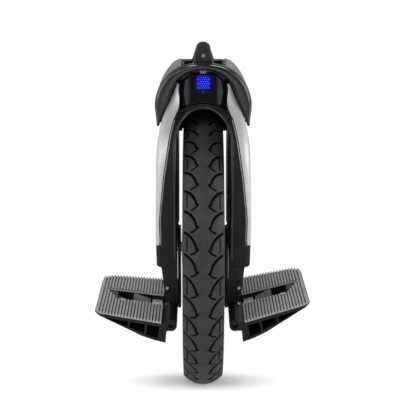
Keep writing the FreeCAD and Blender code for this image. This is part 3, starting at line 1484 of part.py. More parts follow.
def build_pedal_frame(name, side):
    s = size
    frame = pedal_body(f"{name}_pedal_frame", name, side)
    half = s.pedal_half_length
    profile = [
        (s.pedal_inner_low, -s.pedal_foot),
        (s.pedal_heel, -s.pedal_heel_depth),
        (s.pedal_knee, -s.pedal_knee_depth),
        (s.pedal_nose, -s.pedal_nose_depth),
        (s.pedal_reach, s.pedal_top),
        (s.pedal_inner_top, s.pedal_top),
    ]
    pad(frame, "XZ", mirrored(profile, side), -half, half)
    beyond = s.pedal_reach + 10
    for end in (-1, 1):
        out = half + 10
        trim = [(beyond, end * out), (beyond, 0), (s.pedal_reach, 0)] + pedal_end(end, 0)
        trim += [(-10, end * half), (-10, end * out)]
        cut(frame, "XY", mirrored(trim, side), -s.pedal_foot - 1, s.pedal_top + 1)
    roof = s.pedal_top - s.pedal_deck
    half_rib = s.pedal_rib / 2
    inner = s.pedal_inner_top + s.pedal_rib
    first = s.pedal_rib_one - half_rib
    second = s.pedal_rib_one + half_rib
    third = s.pedal_rib_two - half_rib
    fourth = s.pedal_rib_two + half_rib
    heel = s.pedal_skin - s.pedal_heel_depth
    knee = s.pedal_skin - s.pedal_knee_depth
    bays = [
        [(inner, heel), (first, knee), (first, roof), (inner, roof)],
        [
            (second, knee + s.pedal_skin / 2),
            (third, underside(third) + s.pedal_skin),
            (third, roof),
            (second, roof),
        ],
        [
            (fourth, underside(fourth) + s.pedal_skin),
            (s.pedal_bay_end, roof - s.pedal_rib / 4),
            (s.pedal_bay_end, roof),
            (fourth, roof),
        ],
    ]
    wall = s.slot_half + s.pedal_web
    for bay in bays:
        cut(frame, "XZ", mirrored(bay, side), wall, half + 1)
        cut(frame, "XZ", mirrored(bay, side), -half - 1, -wall)
    floor = s.pedal_top - s.slot_depth
    rise = underside(s.slot_end) + s.pedal_skin * 1.5
    slot = [
        (-s.barrel_radius, floor),
        (s.slot_turn, floor),
        (s.slot_end, rise),
        (s.slot_end, s.pedal_top + 1),
        (-s.barrel_radius, s.pedal_top + 1),
    ]
    cut(frame, "XZ", mirrored(slot, side), -s.slot_half, s.slot_half)
    knuckle_start = s.hanger_half_length + s.fit_gap
    web = mirrored([
        (0, s.barrel_radius - 0.5),
        (0, 0.5 - s.barrel_radius),
        (s.pedal_inner_low + 4, -s.barrel_radius - 2),
        (s.pedal_inner_top + 2, s.pedal_top - 1),
    ], side)
    for end in (-1, 1):
        span = (knuckle_start, half) if end > 0 else (-half, -knuckle_start)
        pad(frame, "XZ", ((0, 0), s.barrel_radius), *span)
        outer = (s.slot_half, half) if end > 0 else (-half, -s.slot_half)
        pad(frame, "XZ", web, *outer)
    cut(frame, "XZ", ((0, 0), s.pin_radius + s.running_gap), -half, half)
    bolt_floor = bolt_seat()
    place = mirrored([(s.bolt_place, 0)], side)[0]
    cut(frame, "XY", (place, s.bolt_head_radius + s.fit_gap), bolt_floor, s.pedal_top)
    shank = (place, s.screw_radius + s.running_gap)
    cut(frame, "XY", shank, bolt_floor - s.bolt_shank - s.fit_gap, bolt_floor)


def bolt_seat():
    """Height of the pedal bolt's seat, cut into the slot's rising floor."""
    return underside(size.bolt_place) + size.pedal_skin * 1.2


def build_pedal_grip(name, side, part, end):
    """A ribbed grip. The front one also closes the slot's outer end with a slanted edge."""
    s = size
    grip = pedal_body(f"{name}_{part}_grip", name, side)
    inner = s.pedal_inner_top + s.grip_margin
    near = s.slot_half + s.fit_gap
    tail = pedal_end(end, s.grip_margin)
    if end < 0:
        reach = s.pedal_reach - s.grip_margin
        far = s.slot_half - s.fit_gap
        head = [(inner, -near), (s.slot_end, -near), (s.slot_tip, far), (reach, far)]
    else:
        head = [(inner, near), (s.pedal_reach - s.grip_margin, near)]
    bottom = s.pedal_top
    top = s.pedal_top + s.grip_thickness
    pad(grip, "XY", mirrored(head + tail, side), bottom, top)
    start = inner + s.grip_pitch - s.grip_groove_width
    groove = mirrored(rectangle(start, top - s.grip_groove, start + s.grip_groove_width, top + 1), side)
    one = cut(grip, "XZ", groove, -s.pedal_half_length - 1, s.pedal_half_length + 1)
    repeat_along(grip, [one], "X", s.grip_pitch, s.grip_groove_count, side < 0)


def build_pedal_fittings(name, side):
    s = size
    pin = pedal_body(f"{name}_hinge_pin", name, side)
    pin_half = s.pedal_half_length - s.pin_inset
    pad(pin, "XZ", ((0, 0), s.pin_radius), -pin_half, pin_half)

    bracket = pedal_body(f"{name}_latch_bracket", name, side)
    floor = s.pedal_top - s.slot_depth
    half = s.slot_half - s.running_gap
    inside = half - s.bracket_sheet
    top = floor + s.bracket_height
    plate = top - s.bracket_sheet
    channel = [
        (-half, floor),
        (-inside, floor),
        (-inside, plate),
        (inside, plate),
        (inside, floor),
        (half, floor),
        (half, top),
        (-half, top),
    ]
    end = s.bracket_start + s.bracket_width
    pad(bracket, "YZ", channel, *across(side, s.bracket_start, end))
    place = mirrored([(s.bracket_start + s.bracket_width / 3, s.bracket_hole)], side)[0]
    cut(bracket, "XY", (place, s.bracket_hole), plate, top)

    block = pedal_body(f"{name}_magnet_block", name, side)
    wedge = [
        (s.magnet_block_start, floor),
        (s.magnet_block_end, floor),
        (s.magnet_block_end, floor + s.magnet_block_high),
        (s.magnet_block_start, floor + s.magnet_block_low),
    ]
    pad(block, "XZ", mirrored(wedge, side), -s.magnet_block_half, s.magnet_block_half)

    bolt = pedal_body(f"{name}_pedal_bolt", name, side)
    place = mirrored([(s.bolt_place, 0)], side)[0]
    seat = bolt_seat()
    pad(bolt, "XY", (place, s.bolt_head_radius), seat, seat + s.bolt_head)
    pad(bolt, "XY", (place, s.screw_radius), seat - s.bolt_shank, seat + 0.5)
    cut(bolt, "XY", (place, s.screw_radius), seat + s.bolt_head / 2, seat + s.bolt_head)


def build_all():
    build_tyre()
    build_inner_tube()
    build_rim()
    build_cover_screws()
    build_magnets()
    build_valve()
    build_axle()
    build_stator()
    build_electronics()
    build_front_lens()
    build_rear_panel()
    build_power_button()
    build_hood()
    build_handle()
    for name, side in SIDES:
        build_motor_cover(name, side)
        build_bearing(name, side)
        build_axle_nut(name, side)
        build_side_shell(name, side)
        build_inner_shell(name, side)
        build_battery(name, side)
        build_leg_pad(name, side)
        build_hanger(name, side)
        build_pedal_frame(name, side)
        build_pedal_grip(name, side, "front", -1)
        build_pedal_grip(name, side, "rear", 1)
        build_pedal_fittings(name, side)


def check_and_export():
    """Stop on anything that failed to build, then write one file for each piece."""
    doc.recompute()
    for thing in doc.Objects:
        if "Invalid" in thing.State or "Error" in thing.State:
            raise RuntimeError(f"{thing.Label} failed to build")
    for piece in pieces:
        if piece.Shape.isNull() or not piece.Shape.isValid():
            raise RuntimeError(f"{piece.Label} has no valid shape")
    os.makedirs("parts", exist_ok=True)
    for piece in pieces:
        piece.Shape.exportStep(f"parts/{piece.Label}.step")
        print(f"{piece.Label}: {len(piece.Shape.Solids)} solid, {piece.Shape.Volume / 1000:.1f} cm3")


build_all()
check_and_export()
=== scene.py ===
# %% [markdown]
# # An electric unicycle, dressed around its CAD frame
# The construction comes from the CAD model: every solid is already at its real size and place.
# This lesson adds what CAD leaves plain: rubber with a moulded tread, soft leg pads, a lamp that
# glows behind smoked plastic, trim along the seams, and a finish for each surface.
# Everything is in metres. X is to the right seen from the front, Y to the back and Z up.

# %% Load the frame
import math

import bmesh
import bpy
from mathutils import Matrix, Vector
from mathutils.bvhtree import BVHTree


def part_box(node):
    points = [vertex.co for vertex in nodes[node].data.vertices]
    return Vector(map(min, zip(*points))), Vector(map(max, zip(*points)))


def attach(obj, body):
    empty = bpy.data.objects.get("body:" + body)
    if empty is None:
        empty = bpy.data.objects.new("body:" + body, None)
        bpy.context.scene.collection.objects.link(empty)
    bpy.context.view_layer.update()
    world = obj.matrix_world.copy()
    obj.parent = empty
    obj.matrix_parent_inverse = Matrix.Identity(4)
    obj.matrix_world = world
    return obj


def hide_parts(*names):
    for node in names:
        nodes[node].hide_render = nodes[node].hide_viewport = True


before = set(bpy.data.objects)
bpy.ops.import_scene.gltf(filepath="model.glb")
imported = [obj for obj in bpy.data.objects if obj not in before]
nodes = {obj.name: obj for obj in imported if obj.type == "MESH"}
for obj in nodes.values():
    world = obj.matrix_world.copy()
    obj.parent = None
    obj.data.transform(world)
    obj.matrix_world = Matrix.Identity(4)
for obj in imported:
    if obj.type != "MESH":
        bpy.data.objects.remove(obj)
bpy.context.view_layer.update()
scene = bpy.context.scene
MM = 0.001

# %% [markdown]
# ## Camera
# The picture was taken from straight ahead, about half a body height above the object and tilted
# down. A long lens far away keeps the two pedals nearly parallel. The lens is given by its focal
# length in picture pixels, which turns into millimetres through the sensor's width. The camera
# stood a finger's width to the left, so the gap beside the wheel looks wider on that side, and a
# small shift puts the wheel where it stands in the frame.

# %% Photo camera
IMAGE_SIDE = 416
FOCAL_PIXELS = 1170.75
SENSOR_WIDTH = 36
TARGET = Vector((0, 0, 0.258))
TARGET_PIXEL = (203.0, 212.24)
CAMERA_DISTANCE = 1.75
CAMERA_SIDE = -0.007
CAMERA_PITCH = math.radians(14)

camera_data = bpy.data.cameras.new("photo_camera")
camera_data.sensor_width = SENSOR_WIDTH
camera_data.lens = FOCAL_PIXELS / IMAGE_SIDE * SENSOR_WIDTH
sideways_pixels = FOCAL_PIXELS * CAMERA_SIDE / CAMERA_DISTANCE
camera_data.shift_x = (IMAGE_SIDE / 2 - TARGET_PIXEL[0] - sideways_pixels) / IMAGE_SIDE
camera_data.shift_y = (TARGET_PIXEL[1] - IMAGE_SIDE / 2) / IMAGE_SIDE
camera = bpy.data.objects.new("photo_camera", camera_data)
backwards = Vector((0, -math.cos(CAMERA_PITCH), math.sin(CAMERA_PITCH)))
camera.location = TARGET + backwards * CAMERA_DISTANCE + Vector((CAMERA_SIDE, 0, 0))
camera.rotation_euler = (math.pi / 2 - CAMERA_PITCH, 0, 0)
scene.collection.objects.link(camera)
scene.camera = camera
scene.view_settings.view_transform = "Standard"
print(f"camera at {tuple(round(x, 3) for x in camera.location)}, lens {camera_data.lens:.1f} mm")

# %% [markdown]
# ## Lamps
# A product studio: a large soft lamp high in front, a stronger one on the right than on the left, one
# behind, and one above the camera that reaches under the arch towards the top of the tyre. That last
# one isn't mirrored, because flat gloss facing the camera would show it as a grey patch. All are area
# lamps, since point lamps would draw hard shadows.

# %% Lamps
# Each lamp's place, its power in watts and the side of its square
LAMPS = {
    "key_lamp": ((-0.7, -1.6, 2.1), 20, 1.4),
    "left_lamp": ((-1.9, -0.3, 1.0), 9, 1.2),
    "right_lamp": ((1.9, -0.3, 1.0), 17, 1.2),
    "back_lamp": ((0.2, 1.8, 1.8), 14, 1.2),
    "front_lamp": ((0, -2.3, 1.05), 14, 0.9),
}


def add_lamp(name, place, power, side):
    """A square soft lamp that looks at the object."""
    data = bpy.data.lights.new(name, "AREA")
    data.energy = power
    data.size = side
    lamp = bpy.data.objects.new(name, data)
    lamp.location = place
    lamp.rotation_euler = (TARGET - Vector(place)).to_track_quat("-Z", "Y").to_euler()
    scene.collection.objects.link(lamp)
    return lamp


lamps = {name: add_lamp(name, *facts) for name, facts in LAMPS.items()}
lamps["front_lamp"].visible_glossy = False
print("lamps:", ", ".join(lamps))

# %% [markdown]
# ## Room
# The room is a world colour. Rays from the camera see it white; rays that only carry light get a
# calmer grey, so that pale paint doesn't burn out; and mirror-like surfaces see bright walls to the
# left and right with a dimmer strip ahead, as between two softboxes, which keeps black plastic black.
# The world's Generated coordinates are directions, so X tells how far sideways a ray looks. Small
# helpers keep node trees readable: each adds one node and connects what goes into it.

# %% Room
ROOM_LEVEL = 0.45
FRONT_REFLECTION = 0.07
WALL_SPAN = (0.3, 0.75)


def add_node(tree, kind, inputs=None, **settings):
    """A node with its settings, whose inputs are other nodes' sockets or plain values."""
    node = tree.nodes.new(f"ShaderNode{kind}")
    for name, value in settings.items():
        setattr(node, name, value)
    for name, value in (inputs or {}).items():
        if isinstance(value, bpy.types.NodeSocket):
            tree.links.new(value, node.inputs[name])
        else:
            node.inputs[name].default_value = value
    return node


def link_math(tree, operation, *inputs):
    """A Math node whose inputs are sockets or numbers."""
    return add_node(tree, "Math", dict(enumerate(inputs)), operation=operation).outputs[0]


def map_span(tree, value, source, target, interpolation="LINEAR"):
    """A Map Range node that turns one span of values into another."""
    inputs = {"Value": value, "From Min": source[0], "From Max": source[1]}
    inputs |= {"To Min": target[0], "To Max": target[1]}
    return add_node(tree, "MapRange", inputs, interpolation_type=interpolation).outputs[0]


def build_world():
    """White to the camera, calm grey as light, two bright walls in reflections."""
    world = bpy.data.worlds.new("studio")
    scene.world = world
    world.use_nodes = True
    tree = world.node_tree
    tree.nodes.clear()
    ray = add_node(tree, "LightPath").outputs
    directions = add_node(tree, "TexCoord").outputs["Generated"]
    split = add_node(tree, "SeparateXYZ", {0: directions})
    sideways = link_math(tree, "ABSOLUTE", split.outputs["X"])
    walls = map_span(tree, sideways, WALL_SPAN, (FRONT_REFLECTION, 1.0), "SMOOTHSTEP")
    glossy = link_math(tree, "MULTIPLY", ray["Is Glossy Ray"], walls)
    seen = link_math(tree, "MAXIMUM", ray["Is Camera Ray"], ray["Is Transmission Ray"])
    direct = link_math(tree, "MAXIMUM", seen, glossy)
    either = link_math(tree, "MAXIMUM", seen, ray["Is Glossy Ray"])
    soft = link_math(tree, "MULTIPLY", link_math(tree, "SUBTRACT", 1.0, either), ROOM_LEVEL)
    strength = link_math(tree, "ADD", direct, soft)
    background = add_node(tree, "Background", {"Color": (1, 1, 1, 1), "Strength": strength})
    add_node(tree, "OutputWorld", {"Surface": background.outputs[0]})


build_world()
print(f"white room, light level {ROOM_LEVEL}")

# %% [markdown]
# ## Floor
# A floor of white paint alone would look grey at this level of light, and its far edge would show. So it
# is plain white to the camera and pale paint to every other ray. Only in a flat oval where the tyre
# stands does the camera see the paint itself, with the shadow on it, fading into white.

# %% Floor
FLOOR_HALF_SIDE = 40
FLOOR_PAINT = 0.92
SHADOW_STRETCH = (1, 2.8, 1)
SHADOW_SHIFT = (0, 0.08, 0)
SHADOW_SPAN = (0.025, 0.13)
SHADOW_WHITENESS = (0.15, 1.0)


def build_floor_finish():
    """White to the camera, but pale paint with its shadow where the tyre stands."""
    material = bpy.data.materials.new("pale_floor")
    material.use_nodes = True
    tree = material.node_tree
    tree.nodes.clear()
    paint = add_node(tree, "BsdfDiffuse", {"Color": (FLOOR_PAINT, FLOOR_PAINT, FLOOR_PAINT, 1)})
    glow = add_node(tree, "Emission", {"Color": (1, 1, 1, 1)})
    camera_ray = add_node(tree, "LightPath").outputs["Is Camera Ray"]
    places = add_node(tree, "TexCoord").outputs["Object"]
    oval = add_node(tree, "Mapping", {"Vector": places, "Scale": SHADOW_STRETCH, "Location": SHADOW_SHIFT})
    away = add_node(tree, "VectorMath", {0: oval.outputs["Vector"]}, operation="LENGTH")
    whiteness = map_span(tree, away.outputs["Value"], SHADOW_SPAN, SHADOW_WHITENESS, "SMOOTHSTEP")
    share = link_math(tree, "MULTIPLY", camera_ray, whiteness)
    mix = add_node(tree, "MixShader", {0: share, 1: paint.outputs[0], 2: glow.outputs[0]})
    add_node(tree, "OutputMaterial", {"Surface": mix.outputs[0]})
    return material


floor_shape = bmesh.new()
bmesh.ops.create_grid(floor_shape, x_segments=2, y_segments=2, size=FLOOR_HALF_SIDE)
floor_mesh = bpy.data.meshes.new("studio_floor")
floor_shape.to_mesh(floor_mesh)
floor_shape.free()
floor_mesh.materials.append(build_floor_finish())
floor = bpy.data.objects.new("studio_floor", floor_mesh)
scene.collection.objects.link(floor)
print(f"floor {2 * FLOOR_HALF_SIDE} m square")

# %% [markdown]
# ## Finishes
# Every finish starts from one Principled shader. A slow noise tints the colour, a second one moves
# the gloss, and a fine one raises a grain, because no moulded or painted surface is perfectly even.
# Pictures could do this too, but they need unwrapped surfaces, and noise fits any shape without seams.
# All the noises read Object coordinates, which here are metres in the object's own frame, so that
# a grain of half a millimetre is the same size on every piece.

# %% Colour, gloss and grain
# Nearly all values of a noise lie in this span
NOISE_SPAN = (0.3, 0.7)


def grey(level):
    """A colour without hue."""
    return (level, level, level)


def shader_of(material):
    """The one shader of a finish."""
    return material.node_tree.nodes["Principled BSDF"]


def new_finish(name, colour, roughness, metallic=0.0, specular=0.5, coat=0.0, coat_roughness=0.1):
    """A material with one Principled shader."""
    material = bpy.data.materials.new(name)
    material.use_nodes = True
    settings = {
        "Base Color": (*colour, 1), "Roughness": roughness, "Metallic": metallic,
        "Specular IOR Level": specular, "Coat Weight": coat, "Coat Roughness": coat_roughness,
    }
    for socket, value in settings.items():
        shader_of(material).inputs[socket].default_value = value
    material.diffuse_color = (*colour, 1)
    return material


def coordinates(material, stretch=(1, 1, 1)):
    """Object coordinates, stretched where a pattern runs along one axis."""
    places = add_node(material.node_tree, "TexCoord").outputs["Object"]
    mapping = add_node(material.node_tree, "Mapping", {"Vector": places, "Scale": stretch})
    return mapping.outputs["Vector"]


def noise_of(material, size, detail=3.0, stretch=(1, 1, 1)):
    """Noise whose features are about size metres across."""
    inputs = {"Vector": coordinates(material, stretch), "Scale": 1 / size, "Detail": detail}
    return add_node(material.node_tree, "TexNoise", inputs).outputs["Fac"]


def tint(material, size, dark, light, stretch=(1, 1, 1)):
    """Let the colour wander between two values."""
    tree = material.node_tree
    ramp = add_node(tree, "ValToRGB", {"Fac": noise_of(material, size, stretch=stretch)})
    for stop, position, colour in zip(ramp.color_ramp.elements, NOISE_SPAN, (dark, light)):
        stop.position = position
        stop.color = (*colour, 1)
    tree.links.new(ramp.outputs["Color"], shader_of(material).inputs["Base Color"])


def vary_gloss(material, size, low, high, stretch=(1, 1, 1)):
    """Let the roughness wander between two values."""
    tree = material.node_tree
    roughness = map_span(tree, noise_of(material, size, stretch=stretch), NOISE_SPAN, (low, high))
    tree.links.new(roughness, shader_of(material).inputs["Roughness"])


def raise_grain(material, height_socket, strength, depth):
    """Turn a pattern into bumps of about depth metres."""
    tree = material.node_tree
    bump = add_node(tree, "Bump", {"Strength": strength, "Distance": depth, "Height": height_socket})
    tree.links.new(bump.outputs["Normal"], shader_of(material).inputs["Normal"])


def noise_grain(material, size, strength, depth, detail=3.0, stretch=(1, 1, 1)):
    """Raise a grain from noise."""
    raise_grain(material, noise_of(material, size, detail, stretch), strength, depth)


print("helpers for colour, gloss and grain ready")

# %% [markdown]
# ### Painted shade in grooves
# Grooves look darker than the surface beside them, because less light gets in, and the finishes paint
# that shade into the colour. The tread carries an attribute that says how deep each point is sunk, and
# the finish reads it. The ribbed grips come from CAD and have no such attribute, so there an Ambient
# Occlusion node finds the hollows. It looks at its own piece only, so that a pedal doesn't darken when
# it folds up beside the shell.

# %% Painted shade and dressing
HOLLOW_CONTRAST = 1.6
# Words for the two sides, with their signs along X
SIDES = (("left", -1), ("right", 1))


def mix_colours(tree, share, first, second):
    """A Mix node for colours, which are sockets or plain colours."""
    # The node holds sockets for every type of value: 6 and 7 are its colours, 2 the mixed one
    return add_node(tree, "Mix", {0: share, 6: first, 7: second}, data_type="RGBA").outputs[2]


def darken_by(material, attribute, share):
    """Paint shade by darkening colour and shine where an attribute of the points is high."""
    tree = material.node_tree
    value = add_node(tree, "Attribute", attribute_name=attribute).outputs["Fac"]
    lost = link_math(tree, "MULTIPLY", value, share)
    colour = shader_of(material).inputs["Base Color"]
    tree.links.new(mix_colours(tree, lost, colour.links[0].from_socket, (0, 0, 0, 1)), colour)
    specular = shader_of(material).inputs["Specular IOR Level"]
    left = link_math(tree, "MULTIPLY", link_math(tree, "SUBTRACT", 1.0, lost), specular.default_value)
    tree.links.new(left, specular)


def paint_hollow_shade(material, reach, dark):
    """Paint shade into the colour at the bottom of grooves, where ambient occlusion finds little light."""
    tree = material.node_tree
    open_sky = add_node(tree, "AmbientOcclusion", {"Distance": reach}, only_local=True)
    unshaded = link_math(tree, "POWER", open_sky.outputs["AO"], HOLLOW_CONTRAST)
    colour = shader_of(material).inputs["Base Color"]
    tree.links.new(mix_colours(tree, unshaded, (*dark, 1), colour.links[0].from_socket), colour)


def wear_dress(material, *names):
    """Give a finish to CAD nodes."""
    for name in names:
        piece = nodes[name]
        if not piece.material_slots:
            piece.data.materials.append(material)
        for place in piece.material_slots:
            place.material = material


def both(*names):
    """The left and the right node of each name."""
    return [f"{side}_{name}" for name in names for side, _ in SIDES]


# The print names the helpers that paint shade into hollows
print("helpers for painted shade and dressing ready")

# %% [markdown]
# ### Shell finishes
# The side shells are sprayed satin silver: a pale grey with a little metal in it, soft highlights
# and a very fine orange peel. The inner shell, housings and hood are black plastic from a textured
# mould, each with its own gloss.

# %% Paint and plastic
silver = new_finish("satin_silver_paint", grey(0.5), 0.46, metallic=0.45, specular=0.35)
tint(silver, 0.05, (0.48, 0.476, 0.468), (0.53, 0.526, 0.518))
vary_gloss(silver, 0.03, 0.43, 0.5)
noise_grain(silver, 0.0012, 0.08, 0.0002)
wear_dress(silver, *both("side_shell"))

black = new_finish("moulded_black", grey(0.005), 0.5, specular=0.22)
tint(black, 0.02, grey(0.004), grey(0.007))
vary_gloss(black, 0.012, 0.44, 0.56)
noise_grain(black, 0.0009, 0.25, 0.0003)
wear_dress(black, *both("inner_shell"), "rear_panel", "charge_port", "charge_port_cap")

hood_finish = new_finish("hood_satin", (0.007, 0.0068, 0.0066), 0.28, specular=0.5)
tint(hood_finish, 0.015, (0.006, 0.0058, 0.0056), (0.009, 0.0088, 0.0086))
vary_gloss(hood_finish, 0.01, 0.25, 0.33)
noise_grain(hood_finish, 0.0006, 0.2, 0.0002)
wear_dress(hood_finish, "top_hood")

handle_finish = new_finish("handle_soft_touch", (0.008, 0.0077, 0.0074), 0.45, specular=0.4)
tint(handle_finish, 0.01, (0.007, 0.0067, 0.0064), (0.01, 0.0097, 0.0094))
vary_gloss(handle_finish, 0.008, 0.44, 0.58)
noise_grain(handle_finish, 0.0008, 0.35, 0.0003)
wear_dress(handle_finish, "carry_handle")
print("shell finishes ready")

# %% [markdown]
# ### Metal finishes
# Hardware is steel, cast alloy and black-coated alloy. Brushed metal is noise stretched along the
# direction of brushing. Castings get a coarser grain than paint.

# %% Metal
steel = new_finish("hardware_steel", grey(0.62), 0.3, metallic=1.0)
tint(steel, 0.004, grey(0.52), grey(0.7))
vary_gloss(steel, 0.0015, 0.22, 0.4, stretch=(1, 6, 1))
wear_dress(steel, "axle", *both("axle_nut", "bearing", "cover_screws", "pedal_bolt"))

cast = new_finish("grained_casting", grey(0.1), 0.45, metallic=0.85)
tint(cast, 0.02, grey(0.085), grey(0.12))
vary_gloss(cast, 0.006, 0.38, 0.55)
noise_grain(cast, 0.0014, 0.3, 0.0004)
wear_dress(cast, "rim", *both("motor_cover"), "stator_hub")

oxide = new_finish("black_oxide_screws", grey(0.05), 0.4, metallic=0.9)
tint(oxide, 0.003, grey(0.035), grey(0.09))
vary_gloss(oxide, 0.002, 0.3, 0.5)
wear_dress(oxide, "motor_cover_screws", *both("hinge_pin"))

dull_steel = new_finish("dull_steel_screws", grey(0.3), 0.42, metallic=0.9)
tint(dull_steel, 0.003, grey(0.24), grey(0.36))
vary_gloss(dull_steel, 0.002, 0.34, 0.5)
wear_dress(dull_steel, "handle_screws")

coated = new_finish("pedal_black_coat", grey(0.005), 0.4, specular=0.25)
tint(coated, 0.012, grey(0.004), grey(0.007))
vary_gloss(coated, 0.008, 0.36, 0.52)
noise_grain(coated, 0.0008, 0.35, 0.0003)
wear_dress(coated, *both("pedal_frame"))

hanger_finish = new_finish("hanger_satin_black", grey(0.012), 0.4, metallic=0.1, specular=0.35)
tint(hanger_finish, 0.015, grey(0.01), grey(0.016))
vary_gloss(hanger_finish, 0.01, 0.36, 0.5)
noise_grain(hanger_finish, 0.0007, 0.2, 0.0002)
wear_dress(hanger_finish, *both("pedal_hanger", "hanger_cover"))

latch = new_finish("latch_plate_zinc", grey(0.5), 0.42, metallic=0.35)
tint(latch, 0.006, grey(0.44), grey(0.56))
vary_gloss(latch, 0.002, 0.32, 0.5, stretch=(1, 8, 1))
wear_dress(latch, *both("latch_bracket"))

magnet_cover = new_finish("magnet_block_gloss", (0.13, 0.125, 0.122), 0.18, specular=0.6)
tint(magnet_cover, 0.01, (0.11, 0.106, 0.104), (0.15, 0.145, 0.142))
vary_gloss(magnet_cover, 0.01, 0.14, 0.26)
wear_dress(magnet_cover, *both("magnet_block"))

brass = new_finish("plain_brass", (0.5, 0.38, 0.18), 0.3, metallic=1.0)
tint(brass, 0.004, (0.42, 0.31, 0.14), (0.56, 0.44, 0.23))
wear_dress(brass, "valve_stem")
wear_dress(black, "valve_cap")
print("metal finishes ready")

# %% [markdown]
# ### Rubber finishes
# Rubber has almost no shine and takes dust, so its tint runs a little brown. The grips of the pedals
# are paler than the tyre, with shade painted into the hollows between their ribs.

# %% Rubber
grip_rubber = new_finish("ribbed_grip", (0.34, 0.33, 0.32), 0.8, specular=0.25)
tint(grip_rubber, 0.006, (0.3, 0.292, 0.28), (0.38, 0.372, 0.36))
# Painted shade: the hollows between the ribs get darker
paint_hollow_shade(grip_rubber, 0.005, (0.05, 0.048, 0.045))
vary_gloss(grip_rubber, 0.004, 0.7, 0.9)
noise_grain(grip_rubber, 0.0011, 0.5, 0.0004, detail=2.0)
wear_dress(grip_rubber, *both("front_grip", "rear_grip"))

tyre_rubber = new_finish("tread_rubber", (0.025, 0.0235, 0.0215), 0.6, specular=0.35)
tint(tyre_rubber, 0.012, (0.02, 0.019, 0.0175), (0.031, 0.0293, 0.0268))
vary_gloss(tyre_rubber, 0.006, 0.54, 0.72)
noise_grain(tyre_rubber, 0.0016, 0.35, 0.0003)
# Painted shade: colour and shine darken with the depth of each groove
darken_by(tyre_rubber, "groove", 0.95)
wear_dress(tyre_rubber, "tyre")

tube_rubber = new_finish("butyl_tube", grey(0.02), 0.6)
tint(tube_rubber, 0.01, grey(0.016), grey(0.026))
wear_dress(tube_rubber, "inner_tube")
print("rubber finishes ready")

# %% [markdown]
# ### Lamp finishes
# The lens is smoked gloss plastic with a lamp behind it, so its blue light spreads a little inside
# the plastic. A real lamp behind clear glass would render slowly and with noise, so the finish itself
# has an emission, square with soft corners, that fades away from the lamp's middle.

# %% Lamps and button
LAMP_CENTRE = (0, -0.058, 0.46)
LAMP_CORNERS = 4
LAMP_HALF_SIDE = 0.0035
LAMP_GLOW_REACH = 0.0135
LAMP_LEVEL = 0.6


def build_lens_finish():
    """Smoked gloss with a glow round the middle of the lamp."""
    lens = new_finish("smoked_gloss", (0.004, 0.004, 0.008), 0.07, specular=0.5)
    tint(lens, 0.012, (0.0035, 0.0035, 0.007), (0.0045, 0.0045, 0.009))
    vary_gloss(lens, 0.02, 0.05, 0.1)
    tree = lens.node_tree
    away = add_node(tree, "VectorMath", {0: coordinates(lens), 1: LAMP_CENTRE}, operation="SUBTRACT")
    split = add_node(tree, "SeparateXYZ", {0: away.outputs["Vector"]})
    sideways, upwards = (
        link_math(tree, "POWER", link_math(tree, "ABSOLUTE", split.outputs[axis]), LAMP_CORNERS)
        for axis in "XZ"
    )
    reach = link_math(tree, "POWER", link_math(tree, "ADD", sideways, upwards), 1 / LAMP_CORNERS)
    glow = map_span(tree, reach, (LAMP_HALF_SIDE, LAMP_GLOW_REACH), (LAMP_LEVEL, 0.0), "SMOOTHERSTEP")
    shader_of(lens).inputs["Emission Color"].default_value = (0.0, 0.002, 1.0, 1)
    tree.links.new(glow, shader_of(lens).inputs["Emission Strength"])
    return lens


lens_finish = build_lens_finish()
wear_dress(lens_finish, "front_lamp_lens")

tail_red = new_finish("tail_lamp_red", (0.32, 0.008, 0.008), 0.12, specular=0.6, coat=0.4)
tint(tail_red, 0.004, (0.24, 0.005, 0.005), (0.4, 0.012, 0.012))
noise_grain(tail_red, 0.002, 0.6, 0.0006, detail=0.0, stretch=(3, 1, 1))
wear_dress(tail_red, "tail_lamp")

button_grey = new_finish("moulded_grey", grey(0.13), 0.35)
tint(button_grey, 0.004, grey(0.11), grey(0.16))
wear_dress(button_grey, "power_button")
print("lamp finishes ready")

# %% [markdown]
# ### Finishes inside the shell
# Batteries, boards and the motor never show, but they wear their own finish, because the model may be
# opened.

# %% Inner pieces
board = new_finish("solder_mask", (0.02, 0.12, 0.05), 0.3)
tint(board, 0.006, (0.016, 0.09, 0.04), (0.03, 0.16, 0.07))
wear_dress(board, "front_led_board", "control_board")

heat_sink = new_finish("heat_sink_alloy", grey(0.55), 0.35, metallic=1.0)
tint(heat_sink, 0.01, grey(0.48), grey(0.62))
wear_dress(heat_sink, "heat_sink")

wrap = new_finish("blue_shrink_wrap", (0.04, 0.1, 0.26), 0.35)
tint(wrap, 0.02, (0.034, 0.085, 0.22), (0.05, 0.12, 0.3))
wear_dress(wrap, *both("battery_pack"))

copper = new_finish("enamelled_copper", (0.7, 0.32, 0.12), 0.28, metallic=1.0)
tint(copper, 0.003, (0.55, 0.24, 0.09), (0.78, 0.38, 0.16))
wear_dress(copper, "stator_windings")

varnished = new_finish("varnished_iron", grey(0.14), 0.45, metallic=0.6)
tint(varnished, 0.004, grey(0.11), grey(0.18), stretch=(8, 1, 1))
wear_dress(varnished, "stator_core")

nickel = new_finish("magnet_nickel", grey(0.6), 0.2, metallic=1.0)
tint(nickel, 0.006, grey(0.54), grey(0.66))
wear_dress(nickel, "rotor_magnets")
print("inner finishes ready")

# %% [markdown]
# ## Piece helpers
# A new piece is a bmesh made a mesh, then an object at the origin. Modelling in Edit Mode would give the
# same mesh, but a bmesh needs no selection and leaves no trace in the scene until it is finished. Each
# piece rides on a CAD body, so that it moves along when a joint turns.

# %% Piece helpers


def new_piece(shape, name, material, smooth=True):
    """Make a bmesh an object of the scene."""
    mesh = bpy.data.meshes.new(name)
    shape.to_mesh(mesh)
    shape.free()
    for face in mesh.polygons:
        face.use_smooth = smooth
    mesh.materials.append(material)
    piece = bpy.data.objects.new(name, mesh)
    scene.collection.objects.link(piece)
    return piece


